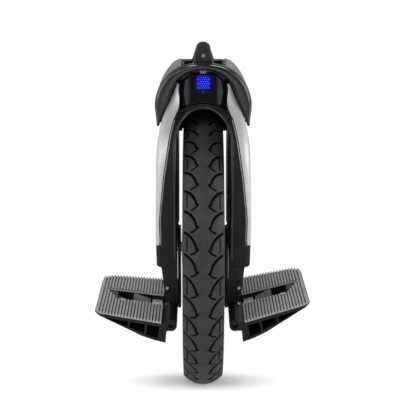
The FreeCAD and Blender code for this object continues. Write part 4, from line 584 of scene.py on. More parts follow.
def finish_piece(shape, name, material, body, smooth=True):
    """Make a bmesh an object that moves with a body and wears the given finish."""
    piece = new_piece(shape, name, material, smooth)
    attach(piece, body)
    print(f"{name}: {len(piece.data.polygons)} faces")
    return piece


print("helpers for pieces ready")

# %% [markdown]
# ## Tyre
# A road tyre's tread is moulded: a smooth strip in the middle, long curved grooves that sweep from
# each shoulder towards the middle, a short hook at the end of each, and a straight cut beside every
# second one. A texture could paint it, but then the outline would stay smooth, so the grooves are
# geometry. First comes a function that says how deep the tread is sunk at each place. All sizes here
# are in millimetres on the tread.

# %% Grooves of the tread
tyre_low, tyre_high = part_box("tyre")
TYRE_RADIUS = (tyre_high.z - tyre_low.z) / 2 / MM
AXLE = (tyre_low + tyre_high) / 2
SHOULDER_HALF_WIDTH = 28.5
SHOULDER_DROP = 13.2
CROWN_RADIUS = (SHOULDER_HALF_WIDTH ** 2 + SHOULDER_DROP ** 2) / (2 * SHOULDER_DROP)
PAIRS = 21
PITCH = 2 * math.pi * TYRE_RADIUS / (2 * PAIRS)
RIGHT_SIDE_LAG = 2.0
SOFT_WALL = 0.7
# An arc: middle of its bend from the tyre's middle and along the tread, radius, first and last
# direction in degrees; then width, and depth at its first and last end
SWEEP = ((43.4, 30.6), 34.3, 250, 190, 3.1, 2.6, 1.6)
HOOK = ((21.2, 15.3), 17.2, 106, 146, 2.5, 1.8, 1.2)
CUT_PLACE = 22.5
CUT_START = 7.5
CUT_END = 27.5
CUT_WIDTH = 1.6
CUT_DEPTH = 1.2
# Grooves that start up to three pitches away still reach the tile, which is two pitches long
PITCHES_IN_REACH = range(-2, 4)


def soft_step(share):
    """Rise from 0 to 1 without a corner at either end."""
    share = max(0, min(1, share))
    return share * share * (3 - 2 * share)


def arc_depth(groove, across, along):
    """Depth of a curved groove at a place of the tread, with soft walls."""
    middle, radius, first, last, width, first_depth, last_depth = groove
    offset = Vector((across - middle[0], along - middle[1]))
    angle = math.degrees(math.atan2(offset.y, offset.x)) % 360
    share = max(0, min(1, (angle - first) / (last - first)))
    nearest = math.radians(first + (last - first) * share)
    away = (offset - Vector((math.cos(nearest), math.sin(nearest))) * radius).length
    depth = first_depth + (last_depth - first_depth) * share
    return depth * soft_step((width / 2 - away) / SOFT_WALL + 0.5)


def cut_depth(across, along):
    """Depth of the straight cut between two long grooves."""
    beyond = max(CUT_START - along, along - CUT_END, 0)
    away = math.hypot(across - CUT_PLACE, beyond)
    return CUT_DEPTH * soft_step((CUT_WIDTH / 2 - away) / SOFT_WALL + 0.5)


def tread_depth(across, along):
    """Depth below the smooth tread, at a distance across the tyre and along one pair of pitches."""
    if across > 0:
        along -= RIGHT_SIDE_LAG
    across = abs(across)
    deepest = 0
    for number in PITCHES_IN_REACH:
        local = along - number * PITCH
        deepest = max(deepest, arc_depth(SWEEP, across, local), arc_depth(HOOK, across, local))
        if number % 2 == 0:
            deepest = max(deepest, cut_depth(across, local))
    return deepest


print(f"{2 * PAIRS} pitches of {PITCH:.1f} mm")

# %% [markdown]
# The tread itself is one tile, two pitches long: a fine grid whose points are bent round the wheel and
# sunk where a groove passes. A spin repeats the tile, so that depths are worked out once and not
# twenty-one times. The band is then closed on its underside. Each point also keeps how deep it is
# sunk, so that the finish can paint shade into the grooves.

# %% Tread band
DEEPEST = 2.6
GROOVE_SHADE_GAIN = 2.2
TILE_ROWS = 61
TILE_COLUMNS = 74
SEAM_MERGE = 2e-5
BAND_HALF_WIDTH = 24
BAND_RADIUS = 186.5


def build_tread():
    """The grooved band, open on its underside."""
    shape = bmesh.new()
    bmesh.ops.create_grid(shape, x_segments=TILE_COLUMNS, y_segments=TILE_ROWS, size=1)
    sunk = shape.verts.layers.float.new("groove")
    half_arc = math.asin(SHOULDER_HALF_WIDTH / CROWN_RADIUS)
    pair_angle = 2 * math.pi / PAIRS
    for vertex in shape.verts:
        slope = vertex.co.x * half_arc
        along = (vertex.co.y + 1) * PITCH
        turn = (vertex.co.y + 1) / 2 * pair_angle
        depth = tread_depth(CROWN_RADIUS * math.sin(slope), along)
        # How deep the point is sunk, as a share that sets the painted shade in the groove
        vertex[sunk] = min(1, depth / DEEPEST * GROOVE_SHADE_GAIN)
        crown = CROWN_RADIUS - depth
        out = TYRE_RADIUS - CROWN_RADIUS + crown * math.cos(slope)
        across = crown * math.sin(slope)
        vertex.co = AXLE + Vector((across, -out * math.sin(turn), out * math.cos(turn))) * MM
    bmesh.ops.spin(
        shape, geom=shape.verts[:] + shape.edges[:] + shape.faces[:], cent=AXLE, axis=(1, 0, 0),
        dvec=(0, 0, 0), angle=pair_angle * (PAIRS - 1), steps=PAIRS - 1, use_duplicate=True,
    )
    bmesh.ops.remove_doubles(shape, verts=shape.verts, dist=SEAM_MERGE)
    return shape


def join_rims(shape):
    """Join the two open rims of a shape and turn all its faces outwards."""
    rims = [edge for edge in shape.edges if edge.is_boundary]
    bmesh.ops.bridge_loops(shape, edges=rims)
    bmesh.ops.recalc_face_normals(shape, faces=shape.faces)


def close_band(shape, half_width, radius):
    """Draw both rims of the band inwards and join them under the tread."""
    rims = [edge for edge in shape.edges if edge.is_boundary]
    made = bmesh.ops.extrude_edge_only(shape, edges=rims)["geom"]
    for vertex in made:
        if isinstance(vertex, bmesh.types.BMVert):
            arm = vertex.co - AXLE
            side = math.copysign(half_width * MM, arm.x)
            arm.x = 0
            vertex.co = AXLE + arm.normalized() * radius * MM + Vector((side, 0, 0))
    join_rims(shape)


tread_shape = build_tread()
close_band(tread_shape, BAND_HALF_WIDTH, BAND_RADIUS)
tread = finish_piece(tread_shape, "tyre_tread", tyre_rubber, "wheel")
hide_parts("tyre")

# %% [markdown]
# ## Tyre sides
# Below the tread, each side of the tyre is a smooth bulging ring with two thin moulded lines, which
# ends in the bead inside the rim. A torus would be too plain for that section, so each ring is a spun
# outline: a few points, turned once round the axle.

# %% Sidewalls
# Outline of one side: distance from the middle, radius
SIDEWALL = [
    (24.5, 190.2), (26.6, 191.4), (27.5, 190.6), (28.1, 188.4), (28.5, 185.7), (28.4, 182.6), (28.8, 182.1),
    (28.8, 181.1), (28.2, 180.5), (27.6, 177.4), (26.6, 174.0), (26.9, 173.3), (26.5, 172.3), (25.9, 172.0),
    (24.4, 168.6), (22.4, 165.2), (20.0, 162.8), (20.0, 152.6), (15.5, 152.6), (13.1, 159.4), (20.6, 172.0),
    (21.2, 176.0), (21.0, 181.0), (22.0, 186.0),
]
RING_STEPS = 168


def spin_ring(shape, outline, steps):
    """Turn a closed outline of (x, radius) once round the axle."""
    corners = [shape.verts.new(AXLE + Vector((x, 0, r)) * MM) for x, r in outline]
    edges = [shape.edges.new((corners[number - 1], corners[number])) for number in range(len(corners))]
    bmesh.ops.spin(
        shape, geom=corners + edges, cent=AXLE, axis=(1, 0, 0), dvec=(0, 0, 0),
        angle=2 * math.pi, steps=steps, use_merge=True, use_duplicate=False,
    )


sides_shape = bmesh.new()
for side in (-1, 1):
    spin_ring(sides_shape, [(side * x, r) for x, r in SIDEWALL], RING_STEPS)
bmesh.ops.recalc_face_normals(sides_shape, faces=sides_shape.faces)
sidewalls = finish_piece(sides_shape, "tyre_sidewalls", tyre_rubber, "wheel")
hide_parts("tyre")

# %% [markdown]
# ## Helpers for what lies on the shell
# The next pieces lie on CAD surfaces. A Shrinkwrap modifier could lay them there, but it also moves their
# outline, which has to stay where it is put. So a ray is cast on the CAD mesh for each point. Most rays
# run along Y, from well in front of the object or from behind it.

# %% Rays on the CAD
CAST_START = 0.4


def surface_of(*names):
    """The meshes of CAD nodes as one thing to cast rays on."""
    points = []
    faces = []
    for name in names:
        mesh = nodes[name].data
        start = len(points)
        points += [vertex.co.copy() for vertex in mesh.vertices]
        faces += [[start + index for index in face.vertices] for face in mesh.polygons]
    return BVHTree.FromPolygons(points, faces)


def face_at(surface, x, z, end=-1):
    """Place and direction of a surface at x and z, met from the front (end -1) or the back (end 1)."""
    start = Vector((x, end * CAST_START, z))
    place, normal, _, _ = surface.ray_cast(start, Vector((0, -end, 0)))
    return place, normal


print(f"rays start {CAST_START} m in front of the middle or behind it")

# %% [markdown]
# Lens, visor and flap are thin skins. A plane with a Solidify modifier could make two of them, but the
# visor's back is flat while its front bulges. So a closed skin is a pair of grids, front and back, whose
# points are placed by a function, and whose borders are joined by a bridge.

# %% Closed skin


def closed_skin(rows, columns, place_of):
    """Two grids, front and back, joined along their borders. The place of each point comes from its
    shares of the two directions, 0 to 1, and from which grid it is on."""
    shape = bmesh.new()
    for front in (True, False):
        made = bmesh.ops.create_grid(shape, x_segments=rows, y_segments=columns, size=1)
        for vertex in made["verts"]:
            vertex.co = place_of((vertex.co.x + 1) / 2, (vertex.co.y + 1) / 2, front)
    join_rims(shape)
    return shape


print("helper for skins ready")

# %% [markdown]
# ## Lamp lens
# The lens is one smoked moulding: flat in the middle, rounded back at both sides so that it catches
# the softboxes as a gradient, with its upper corners cut off. The flat face of the CAD lens would mirror
# one even tone. The cover leans as that face does, and its lower edge follows the wheel arch; rays along
# Y find both.

# %% Lens
LENS_TOP = 471.2 * MM
LENS_FLAT = 13 * MM
LENS_ROUND = 8 * MM
LENS_CHAMFER_START = 16 * MM
LENS_CHAMFER_DROP = 12.5 * MM
LENS_THICKNESS = 2.6 * MM
LENS_EDGE = 0.4 * MM
LENS_CURVE = 2.2
LENS_COLUMNS = 48
LENS_ROWS = 30
RAY_STEP = 0.25 * MM
lens_surface = surface_of("front_lamp_lens")
lens_low, lens_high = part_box("front_lamp_lens")
LENS_REACH = lens_high.x - 2 * LENS_EDGE
# The face is flat, so two places below its top give its lean
face_high, _ = face_at(lens_surface, 0, LENS_TOP - 1 * MM)
face_low, _ = face_at(lens_surface, 0, LENS_TOP - 25 * MM)


def lens_foot(x):
    """Lowest height at which the lens is met at x."""
    steps = int((lens_high.z - lens_low.z) / RAY_STEP)
    heights = [lens_low.z + number * RAY_STEP for number in range(1, steps)]
    return min(z for z in heights if face_at(lens_surface, x, z)[0])


def lens_place(share_x, share_z, front):
    """A point of the lens cover, from its shares of the width and of the height."""
    half = lens_high.x - LENS_EDGE
    x = (2 * share_x - 1) * half
    corner = max(0, (abs(x) - LENS_CHAMFER_START) / (half - LENS_CHAMFER_START))
    top = LENS_TOP - LENS_CHAMFER_DROP * corner
    foot = lens_feet[round(share_x * LENS_COLUMNS)] + LENS_EDGE
    z = foot + (top - foot) * share_z
    share = (z - face_low.z) / (face_high.z - face_low.z)
    face = face_low.y + (face_high.y - face_low.y) * share
    bend = max(0, (abs(x) - LENS_FLAT) / (half - LENS_FLAT))
    back = LENS_ROUND * bend ** LENS_CURVE + (0 if front else LENS_THICKNESS)
    return Vector((x, face + back, z))


lens_feet = [
    lens_foot((2 * number / LENS_COLUMNS - 1) * LENS_REACH) for number in range(LENS_COLUMNS + 1)
]
lens_shape = closed_skin(LENS_COLUMNS, LENS_ROWS, lens_place)
lens_cover = finish_piece(lens_shape, "lens_cover", lens_finish, "shell_body")
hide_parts("front_lamp_lens")

# %% [markdown]
# ## Hood visor
# The front of the hood ends in a visor, a rounded band that is widest over the lens and runs out in
# a tip on each side. The CAD lip is flat in front, so a bulging skin is laid on it. A ray is cast on
# the hood for each place of a fan round the visor's middle, to find where the lip begins and ends.

# %% Visor
VISOR_MIDDLE = Vector((0, 0, 428)) * MM
VISOR_FIRST = math.radians(-21)
VISOR_LAST = math.radians(201)
VISOR_TURN = VISOR_LAST - VISOR_FIRST
VISOR_STEPS = 90
VISOR_COLUMNS = 14
VISOR_BULGE = 6 * MM
VISOR_SINK = 0.4 * MM
VISOR_RIDGE = 0.62
VISOR_CURVE = 2.4
VISOR_FULL_WIDTH = 8 * MM
LIP_FLATNESS = 0.5 * MM
# Distances from the visor's middle at which the lip may be, in ray steps
LIP_SEARCH = range(120, 300)
EVENING_ROUNDS = 4
hood_surface = surface_of("top_hood")
LIP_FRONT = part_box("top_hood")[0].y


def radial(side, angle):
    """A direction in the plane of X and Z, from level at that side upwards."""
    return Vector((side * math.cos(angle), 0, math.sin(angle)))


def lip_span(angle):
    """Inner and outer distance of the hood's front face from the visor's middle."""
    met = []
    for number in LIP_SEARCH:
        spot = VISOR_MIDDLE + radial(1, angle) * number * RAY_STEP
        place, _ = face_at(hood_surface, spot.x, spot.z)
        if place and place.y < LIP_FRONT + LIP_FLATNESS:
            met.append(number * RAY_STEP)
    return min(met), max(met)


def visor_place(share, across, front):
    """A point of the visor, from its shares of the way round and of the way across."""
    inner, outer = visor_spans[round(share * VISOR_STEPS)]
    angle = VISOR_FIRST + VISOR_TURN * share
    reach = inner + (outer - inner) * across
    from_ridge = (across - VISOR_RIDGE) / (1 - VISOR_RIDGE if across > VISOR_RIDGE else VISOR_RIDGE)
    bulge = VISOR_BULGE * min(1, (outer - inner) / VISOR_FULL_WIDTH)
    depth = bulge * math.sqrt(1 - abs(from_ridge) ** VISOR_CURVE) if front else -VISOR_SINK
    return VISOR_MIDDLE + radial(1, angle) * reach + Vector((0, LIP_FRONT - depth, 0))


def evened(spans):
    """Each span set to the mean of itself and its neighbours, since the rays step a quarter millimetre."""
    closed = [spans[0], *spans, spans[-1]]
    return [
        [(first + 2 * own + last) / 4 for first, own, last in zip(*trio)]
        for trio in zip(closed, closed[1:], closed[2:])
    ]


visor_spans = [
    lip_span(VISOR_FIRST + VISOR_TURN * number / VISOR_STEPS) for number in range(VISOR_STEPS + 1)
]
for number in range(EVENING_ROUNDS):
    visor_spans = evened(visor_spans)
visor_shape = closed_skin(VISOR_STEPS, VISOR_COLUMNS, visor_place)
visor_finish = new_finish("visor_gloss", grey(0.005), 0.26, specular=0.42, coat=0.4, coat_roughness=0.16)
tint(visor_finish, 0.02, grey(0.004), grey(0.007))
vary_gloss(visor_finish, 0.01, 0.22, 0.32)
noise_grain(visor_finish, 0.0008, 0.15, 0.0002)
finish_piece(visor_shape, "hood_visor", visor_finish, "shell_body")

# %% [markdown]
# ## Lamp dots
# Behind the lens sits a small square of blue light-emitting diodes. Each one is a low round dot on
# the leaning face of the lens, in plain rows, every second one shifted by half a step. A pattern in the
# finish could show them too, but solid dots stay sharp from near by. A grey light sensor of the same
# size sits below them.

# %% Light dots
DOT_RADIUS = 0.9 * MM
DOT_HEIGHT = 0.35 * MM
DOT_TAPER = 0.75
DOT_SIDES = 14
DOT_LEAST_GLOW = 0.5
DOT_SPACING = 3.3 * MM
ROW_SPACING = 2.9 * MM
DOT_ROWS = 6
DOT_COLUMNS = 6
SENSOR_PLACE = 446.8 * MM


def add_dot(shape, x, z):
    """A low round dot on the lens, square to its face."""
    place, normal = face_at(lens_surface, x, z)
    turn = normal.to_track_quat("Z", "Y").to_matrix().to_4x4()
    bmesh.ops.create_cone(
        shape, cap_ends=True, segments=DOT_SIDES, radius1=DOT_RADIUS, radius2=DOT_RADIUS * DOT_TAPER,
        depth=DOT_HEIGHT, matrix=Matrix.Translation(place) @ turn,
    )


blue_light = new_finish("blue_light", (0.01, 0.02, 0.3), 0.3)
tint(blue_light, 0.004, (0.008, 0.015, 0.25), (0.015, 0.03, 0.36))
vary_gloss(blue_light, 0.002, 0.25, 0.38)
shader_of(blue_light).inputs["Emission Color"].default_value = (0.06, 0.09, 1.0, 1)
glow_tree = blue_light.node_tree
glow = link_math(glow_tree, "ADD", noise_of(blue_light, 0.004), DOT_LEAST_GLOW)
glow_tree.links.new(glow, shader_of(blue_light).inputs["Emission Strength"])
dots = bmesh.new()
for row in range(DOT_ROWS):
    count = DOT_COLUMNS - row % 2
    height = LAMP_CENTRE[2] + (row - (DOT_ROWS - 1) / 2) * ROW_SPACING
    for column in range(count):
        add_dot(dots, (column - (count - 1) / 2) * DOT_SPACING, height)
finish_piece(dots, "lamp_dots", blue_light, "shell_body")

sensor = bmesh.new()
add_dot(sensor, 0, SENSOR_PLACE)
finish_piece(sensor, "light_sensor", button_grey, "shell_body")

# %% [markdown]
# ## Leg pads
# Soft pads wrap both sides of the hood, where the rider's calves press. On the real object a foam
# block is covered with a grained skin that is tucked under at the border. The CAD pad gives the seat
# and the height at each place; rays cast on it from inside and from outside find both. A fine closed
# skin with a rolled border is laid between them. Cloth pressure then tightens it a little, while its
# border and its back are held, as foam does under a cover.

# %% Pad shape
PAD_BEND = Vector((10, 0, 428)) * MM
PAD_ROWS = 46
PAD_COLUMNS = 48
PAD_BORDER = 0.3 * MM
PAD_SEAT_GAP = 0.1 * MM
PAD_END_TRIM = 0.004
SAME_PLACE = 1e-6
PAD_ROLL = 4.5 * MM
PAD_THIN = 0.72
CAST_REACH = 0.12
# Angles at which a pad may be met, in tenths of a degree
PAD_SEARCH = range(-400, 900)


def pad_radii(surface, middle, direction):
    """Distance of a pad's seat and of its outside from the bend's middle, or nothing beside the pad."""
    outside = surface.ray_cast(middle + direction * CAST_REACH, -direction)[0]
    seat = surface.ray_cast(middle, direction)[0]
    if outside is None or seat is None:
        return None
    return (seat - middle).length, (outside - middle).length


def pad_span(surface, middle, side):
    """First and last angle at which a ray from the bend's middle meets the pad."""
    angles = [math.radians(tenth / 10) for tenth in PAD_SEARCH]
    met = [one for one in angles if pad_radii(surface, middle, radial(side, one))]
    return min(met), max(met)


def build_pad_skin(name, side):
    """A closed skin: an outer and a back grid, whose borders lie on each other and are merged."""
    surface = surface_of(f"{name}_leg_pad")
    low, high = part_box(f"{name}_leg_pad")
    middle = Vector((side * PAD_BEND.x, (low.y + high.y) / 2, PAD_BEND.z))
    first, last = pad_span(surface, middle, side)
    half_length = (high.y - low.y) / 2 - PAD_BORDER
    shape = bmesh.new()
    inset = shape.verts.layers.float.new("inset")
    for outer in (True, False):
        made = bmesh.ops.create_grid(shape, x_segments=PAD_ROWS, y_segments=PAD_COLUMNS, size=1)
        for vertex in made["verts"]:
            share = (vertex.co.x + 1) / 2
            along = vertex.co.y * half_length
            angle = first + (last - first) * (PAD_END_TRIM + (1 - 2 * PAD_END_TRIM) * share)
            direction = radial(side, angle)
            seat, outside = pad_radii(surface, middle + Vector((0, along, 0)), direction)
            from_end = min(share, 1 - share) * (last - first) * outside
            border = min(from_end, half_length - abs(along))
            roll = min(1, border / PAD_ROLL)
            rise = (outside - seat) * PAD_THIN * math.sqrt(1 - (1 - roll) ** 2) if outer else 0
            vertex[inset] = border if outer else -1
            vertex.co = middle + Vector((0, along, 0)) + direction * (seat + PAD_SEAT_GAP + rise)
    bmesh.ops.remove_doubles(shape, verts=shape.verts, dist=SAME_PLACE)
    bmesh.ops.recalc_face_normals(shape, faces=shape.faces)
    return shape


print(f"pad skins of two grids, {PAD_ROWS} by {PAD_COLUMNS} faces")

# %% [markdown]
# The pressure runs for twenty frames without gravity. The skin is stiff, so it moves by less than a
# tenth of a millimetre: the shape is that of the skin as it was laid, and the pressure only settles it.
# A cap on the movement keeps the pad at its photographed size if someone sets more pressure. The result
# is a plain mesh, and no simulation is left in the scene. A channel inside the border is pressed in
# afterwards, where the cover is welded down. Both steps ask how far each point lies from the border,
# which the skin keeps as an attribute.

# %% Pad swelling
SWELL_PRESSURE = 4
SWELL_FRAMES = 20
SWELL_LIMIT = 0.9 * MM
SKIN_STIFFNESS = 40
HELD_BORDER = 1.5 * MM
CHANNEL_INSET = 7.5 * MM
CHANNEL_WIDTH = 3.2 * MM
CHANNEL_DEPTH = 0.8 * MM


def insets_of(mesh):
    """How far each point lies inside the border; negative on the back."""
    return [entry.value for entry in mesh.attributes["inset"].data]


def swell(piece):
    """Blow a pad up with cloth pressure, held at its border and back."""
    mesh = piece.data
    held = piece.vertex_groups.new(name="held")
    still = [number for number, value in enumerate(insets_of(mesh)) if value < HELD_BORDER]
    held.add(still, 1.0, "REPLACE")
    modifier = piece.modifiers.new("swell", "CLOTH")
    modifier.settings.vertex_group_mass = "held"
    modifier.settings.use_pressure = True
    modifier.settings.uniform_pressure_force = SWELL_PRESSURE
    modifier.settings.effector_weights.gravity = 0
    modifier.settings.tension_stiffness = SKIN_STIFFNESS
    modifier.settings.compression_stiffness = SKIN_STIFFNESS
    modifier.collision_settings.use_collision = False
    for number in range(1, SWELL_FRAMES + 1):
        scene.frame_set(number)
    blown = piece.evaluated_get(bpy.context.evaluated_depsgraph_get()).to_mesh()
    places = [vertex.co.copy() for vertex in blown.vertices]
    piece.modifiers.remove(modifier)
    scene.frame_set(1)
    moved = 0
    for vertex, place in zip(mesh.vertices, places):
        step = place - vertex.co
        if step.length > SWELL_LIMIT:
            step = step.normalized() * SWELL_LIMIT
        vertex.co += step
        moved = max(moved, step.length)
    print(f"{piece.name} swelled by up to {moved / MM:.2f} mm")


def press_channel(piece):
    """Sink a soft channel that follows the pad's border."""
    mesh = piece.data
    normals = [vertex.normal.copy() for vertex in mesh.vertices]
    for vertex, value, normal in zip(mesh.vertices, insets_of(mesh), normals):
        away = abs(value - CHANNEL_INSET) / CHANNEL_WIDTH
        vertex.co -= normal * CHANNEL_DEPTH * soft_step(1 - away)


print(f"pads may swell by {SWELL_LIMIT / MM:.1f} mm at most")

# %% [markdown]
# The skin's grain is like leather: small flat cells with furrows between them. A Voronoi pattern gives
# the distance to the nearest furrow, cut off at a limit, which makes the cells flat on top. At two
# millimetres a cell it is too fine for the mesh, so it is a bump in the finish.

# %% Pad covers
FURROW_LIMIT = 0.35


def cell_grain(material, size, strength, depth):
    """Leather grain: flat cells of a Voronoi pattern with furrows between them."""
    tree = material.node_tree
    inputs = {"Vector": coordinates(material), "Scale": 1 / size}
    cells = add_node(tree, "TexVoronoi", inputs, feature="DISTANCE_TO_EDGE")
    height = link_math(tree, "MINIMUM", cells.outputs["Distance"], FURROW_LIMIT)
    raise_grain(material, height, strength, depth)


pad_leather = new_finish("pad_grained_skin", (0.19, 0.184, 0.177), 0.55, specular=0.4)
tint(pad_leather, 0.003, (0.15, 0.145, 0.139), (0.23, 0.223, 0.215))
vary_gloss(pad_leather, 0.004, 0.48, 0.64)
cell_grain(pad_leather, 0.0021, 0.8, 0.0009)
wear_dress(pad_leather, *both("leg_pad"))

for name, side in SIDES:
    pad = new_piece(build_pad_skin(name, side), f"{name}_pad_cover", pad_leather)
    swell(pad)
    press_channel(pad)
    rounding = pad.modifiers.new("rounding", "SUBSURF")
    rounding.levels = 1
    rounding.render_levels = 1
    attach(pad, "shell_body")
    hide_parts(f"{name}_leg_pad")
    print(f"{pad.name}: {len(pad.data.polygons)} faces")

# %% [markdown]
# ## Shell trim
# Two thin mouldings draw the shell's lines: a rounded lip round the wheel opening, and a fine bead
# in the joint between the black face and the silver side. A ring extruded along the path would twist in
# the bends, while a curve with a round bevel keeps its section, so that makes the tube.

# %% Tubes


def tube_along(name, points, radius, sides):
    """A bmesh tube along points, made by a curve with a round bevel."""
    curve = bpy.data.curves.new(name, "CURVE")
    curve.dimensions = "3D"
    spline = curve.splines.new("NURBS")
    spline.points.add(len(points) - 1)
    for control, point in zip(spline.points, points):
        control.co = (*point, 1)
    spline.order_u = 3
    spline.use_endpoint_u = True
    spline.resolution_u = 2
    curve.bevel_depth = radius
    curve.bevel_resolution = sides // 4
    curve.use_fill_caps = True
    holder = bpy.data.objects.new(name, curve)
    scene.collection.objects.link(holder)
    mesh = bpy.data.meshes.new_from_object(holder.evaluated_get(bpy.context.evaluated_depsgraph_get()))
    shape = bmesh.new()
    shape.from_mesh(mesh)
    bpy.data.objects.remove(holder)
    bpy.data.curves.remove(curve)
    bpy.data.meshes.remove(mesh)
    bmesh.ops.remove_doubles(shape, verts=shape.verts, dist=SAME_PLACE)
    bmesh.ops.recalc_face_normals(shape, faces=shape.faces)
    return shape


print("helper for tubes ready")

# %% [markdown]
# The lip goes up one leg of the opening, over its round crown and down the other leg. A bevel of the
# shell's own edge would change the CAD part, so the lip is a tube half sunk into the face, and rays
# find that face at each point of the path.

# %% Wheel arch lip
# Words for the two ends, with their signs along Y
ENDS = (("front", -1), ("rear", 1))
LIP_RADIUS = 2.3 * MM
LIP_SINK = 1.1 * MM
LIP_INSET = 2.0 * MM
LIP_FOOT_RISE = 9 * MM
LIP_SIDES = 12
ARCH_STEPS = 28
LEG_STEPS = 16
HANGER_GAP = 0.3 * MM
# The shells meet in a seam at the middle, so rays keep a little to the side of it
SEAM_STEP = 0.5 * MM
ROOF_PROBE = Vector((2, 0, TYRE_RADIUS + 1)) * MM
hanger_low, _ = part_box("right_pedal_hanger")
shell_low, shell_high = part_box("right_inner_shell")
shell_surface = surface_of(*both("inner_shell"))
TUNNEL_HALF_WIDTH = hanger_low.x - HANGER_GAP
roof, _, _, _ = shell_surface.ray_cast(AXLE + ROOF_PROBE, Vector((0, 0, 1)))
TUNNEL_SPRING = roof.z - TUNNEL_HALF_WIDTH


def arch_path(end, reach):
    """Points round the wheel opening, from the left foot over the crown to the right foot."""
    foot = shell_low.z + LIP_FOOT_RISE
    heights = [foot + (TUNNEL_SPRING - foot) * step / LEG_STEPS for step in range(LEG_STEPS)]
    path = [(-reach, z) for z in heights]
    for step in range(ARCH_STEPS + 1):
        angle = math.pi * (1 - step / ARCH_STEPS)
        path.append((reach * math.cos(angle), TUNNEL_SPRING + reach * math.sin(angle)))
    path += [(reach, z) for z in reversed(heights)]
    points = []
    for x, z in path:
        place, _ = face_at(shell_surface, x + math.copysign(SEAM_STEP, x), z, end)
        points.append(Vector((x, place.y - end * LIP_SINK, z)))
    return points


arch_finish = new_finish("arch_lip_black", grey(0.012), 0.42, specular=0.4)
tint(arch_finish, 0.01, grey(0.01), grey(0.015))
vary_gloss(arch_finish, 0.008, 0.36, 0.5)
for word, end in ENDS:
    path = arch_path(end, TUNNEL_HALF_WIDTH + LIP_INSET)
    lip = tube_along(f"{word}_arch_lip", path, LIP_RADIUS, LIP_SIDES)
    finish_piece(lip, f"{word}_arch_lip", arch_finish, "shell_body")

# %% [markdown]
# The bead runs beside the silver side's edge. In the CAD mesh that edge is the point nearest the
# middle at each height, on the front half or the back half, so the path is read off the side shell,
# moved a little inwards and laid on the black face. Its mid grey, paler than the black face, paints
# the thin highlight that the joint's edge catches.

# %% Joint beads
BEAD_RADIUS = 0.7 * MM
BEAD_STEP = 6 * MM
BEAD_INSET = 1.9 * MM
BEAD_SIDES = 8
BEAD_TOP = shell_high.z - 45 * MM
END_START = 30 * MM
FACE_STEP_LIMIT = 6 * MM


def nearness(place, end):
    """Sorts points by how near the middle they are, to 0.1 mm, then by how far out along Y."""
    return round(abs(place.x), 4), -end * place.y


def silver_edge(name, end):
    """Points along the edge of a side shell, from its foot to below the hood."""
    nearest = {}
    for vertex in nodes[f"{name}_side_shell"].data.vertices:
        place = vertex.co
        if place.y * end < END_START or place.z > BEAD_TOP:
            continue
        level = round(place.z / BEAD_STEP)
        if level not in nearest or nearness(place, end) < nearness(nearest[level], end):
            nearest[level] = place.copy()
    path = []
    for level in sorted(nearest):
        edge = nearest[level]
        x = edge.x - math.copysign(BEAD_INSET, edge.x)
        face, _ = face_at(shell_surface, x, edge.z, end)
        if face and abs(face.y - edge.y) < FACE_STEP_LIMIT:
            path.append(Vector((x, face.y, edge.z)))
    return path


# Painted highlight: the bead is a real moulding, and its mid grey paints the light line along the joint
highlight_bead_finish = new_finish("joint_bead_painted_highlight", grey(0.22), 0.35, specular=0.5)
tint(highlight_bead_finish, 0.01, grey(0.18), grey(0.26))
for name, _ in SIDES:
    for word, end in ENDS:
        bead = tube_along(f"{name}_{word}_joint_bead", silver_edge(name, end), BEAD_RADIUS, BEAD_SIDES)
        finish_piece(bead, f"{name}_{word}_joint_bead", highlight_bead_finish, "shell_body")

# %% [markdown]
# ## Spacer plates
# A flat spacer plate stands between each pedal hanger and the motor, which is why hardly any light
# shows beside the wheel at axle height. It is a box whose edges are all bevelled, because a sharp edge
# catches no light and looks cut from paper.

# %% Spacer plates
PLATE_INNER = 33 * MM
PLATE_HALF_LENGTH = 13 * MM
PLATE_LOW = 112 * MM
PLATE_HIGH = 236 * MM
PLATE_EDGE = 1.2 * MM


def build_plate(side):
    """A box from the hanger towards the motor, with bevelled edges."""
    shape = bmesh.new()
    bmesh.ops.create_cube(shape, size=1)
    width = hanger_low.x - PLATE_INNER
    bmesh.ops.scale(shape, verts=shape.verts, vec=(width, 2 * PLATE_HALF_LENGTH, PLATE_HIGH - PLATE_LOW))
    middle = Vector((side * (PLATE_INNER + width / 2), 0, (PLATE_LOW + PLATE_HIGH) / 2))
    bmesh.ops.translate(shape, verts=shape.verts, vec=middle)
    bmesh.ops.bevel(
        shape, geom=shape.edges[:], offset=PLATE_EDGE, affect="EDGES", segments=3, profile=0.5, material=-1,
    )
    return shape


for name, side in SIDES:
    finish_piece(build_plate(side), f"{name}_spacer_plate", hanger_finish, "shell_body")

# %% [markdown]
# ## Mud flap
# A rubber flap closes the back of the tunnel over the tyre, so that water isn't thrown at the rider. It
# is an arch with a cut-out for the tyre. A Boolean could cut it from a plate, but leaves ragged faces, so
# both edges are worked out and a skin is laid between them. The outer edge follows the tunnel, and the
# inner edge is found by going down the flap until the tyre is near.

# %% Mud flap
FLAP_TOP_PLACE = 64 * MM
FLAP_LEAN = 0.8
FLAP_THICKNESS = 2.2 * MM
FLAP_EDGE_GAP = 0.3 * MM
FLAP_TYRE_GAP = 3.5
FLAP_FOOT = 361 * MM
FLAP_STEPS = 32
FLAP_COLUMNS = 4
FLAP_SEARCH_STEP = 0.2 * MM


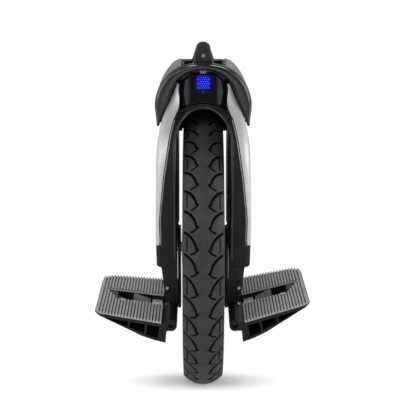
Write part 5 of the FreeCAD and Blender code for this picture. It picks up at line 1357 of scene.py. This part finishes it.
def flap_y(z):
    """The flap leans back from the tunnel's crown downwards."""
    return FLAP_TOP_PLACE + FLAP_LEAN * (TUNNEL_SPRING + TUNNEL_HALF_WIDTH - z)


def flap_cut(x):
    """Height at which the flap ends above the tyre, at x."""
    crown = TYRE_RADIUS - CROWN_RADIUS + math.sqrt(CROWN_RADIUS ** 2 - (x / MM) ** 2)
    clear = (crown + FLAP_TYRE_GAP) * MM
    z = TUNNEL_SPRING + TUNNEL_HALF_WIDTH
    while math.hypot(z - AXLE.z, flap_y(z)) > clear and z > FLAP_FOOT:
        z -= FLAP_SEARCH_STEP
    return z


def flap_edges():
    """Matching points of the flap's outer and inner outline, from the left foot to the right foot."""
    outer_half = TUNNEL_HALF_WIDTH - FLAP_EDGE_GAP
    inner_half = (SHOULDER_HALF_WIDTH + FLAP_TYRE_GAP) * MM
    shoulder = SHOULDER_HALF_WIDTH * MM
    pairs = [((-outer_half, FLAP_FOOT), (-inner_half, FLAP_FOOT))]
    for step in range(FLAP_STEPS + 1):
        angle = math.pi * (1 - step / FLAP_STEPS)
        outer = (outer_half * math.cos(angle), TUNNEL_SPRING + outer_half * math.sin(angle))
        x = inner_half * math.cos(angle)
        inner = (x, flap_cut(max(-shoulder, min(shoulder, x))))
        pairs.append((outer, inner))
    pairs.append(((outer_half, FLAP_FOOT), (inner_half, FLAP_FOOT)))
    return pairs


def flap_place(share, across, front):
    """A point of the flap, from its shares of the way round and of the way across."""
    outer, inner = flap_pairs[round(share * (len(flap_pairs) - 1))]
    x, z = (first + (last - first) * across for first, last in zip(outer, inner))
    return Vector((x, flap_y(z) + (0 if front else FLAP_THICKNESS), z))


flap_pairs = flap_edges()
flap_shape = closed_skin(len(flap_pairs) - 1, FLAP_COLUMNS, flap_place)
flap_rubber = new_finish("flap_rubber", grey(0.012), 0.6, specular=0.3)
tint(flap_rubber, 0.008, grey(0.009), grey(0.016))
noise_grain(flap_rubber, 0.001, 0.3, 0.0003)
finish_piece(flap_shape, "rear_mud_flap", flap_rubber, "shell_body", smooth=False)
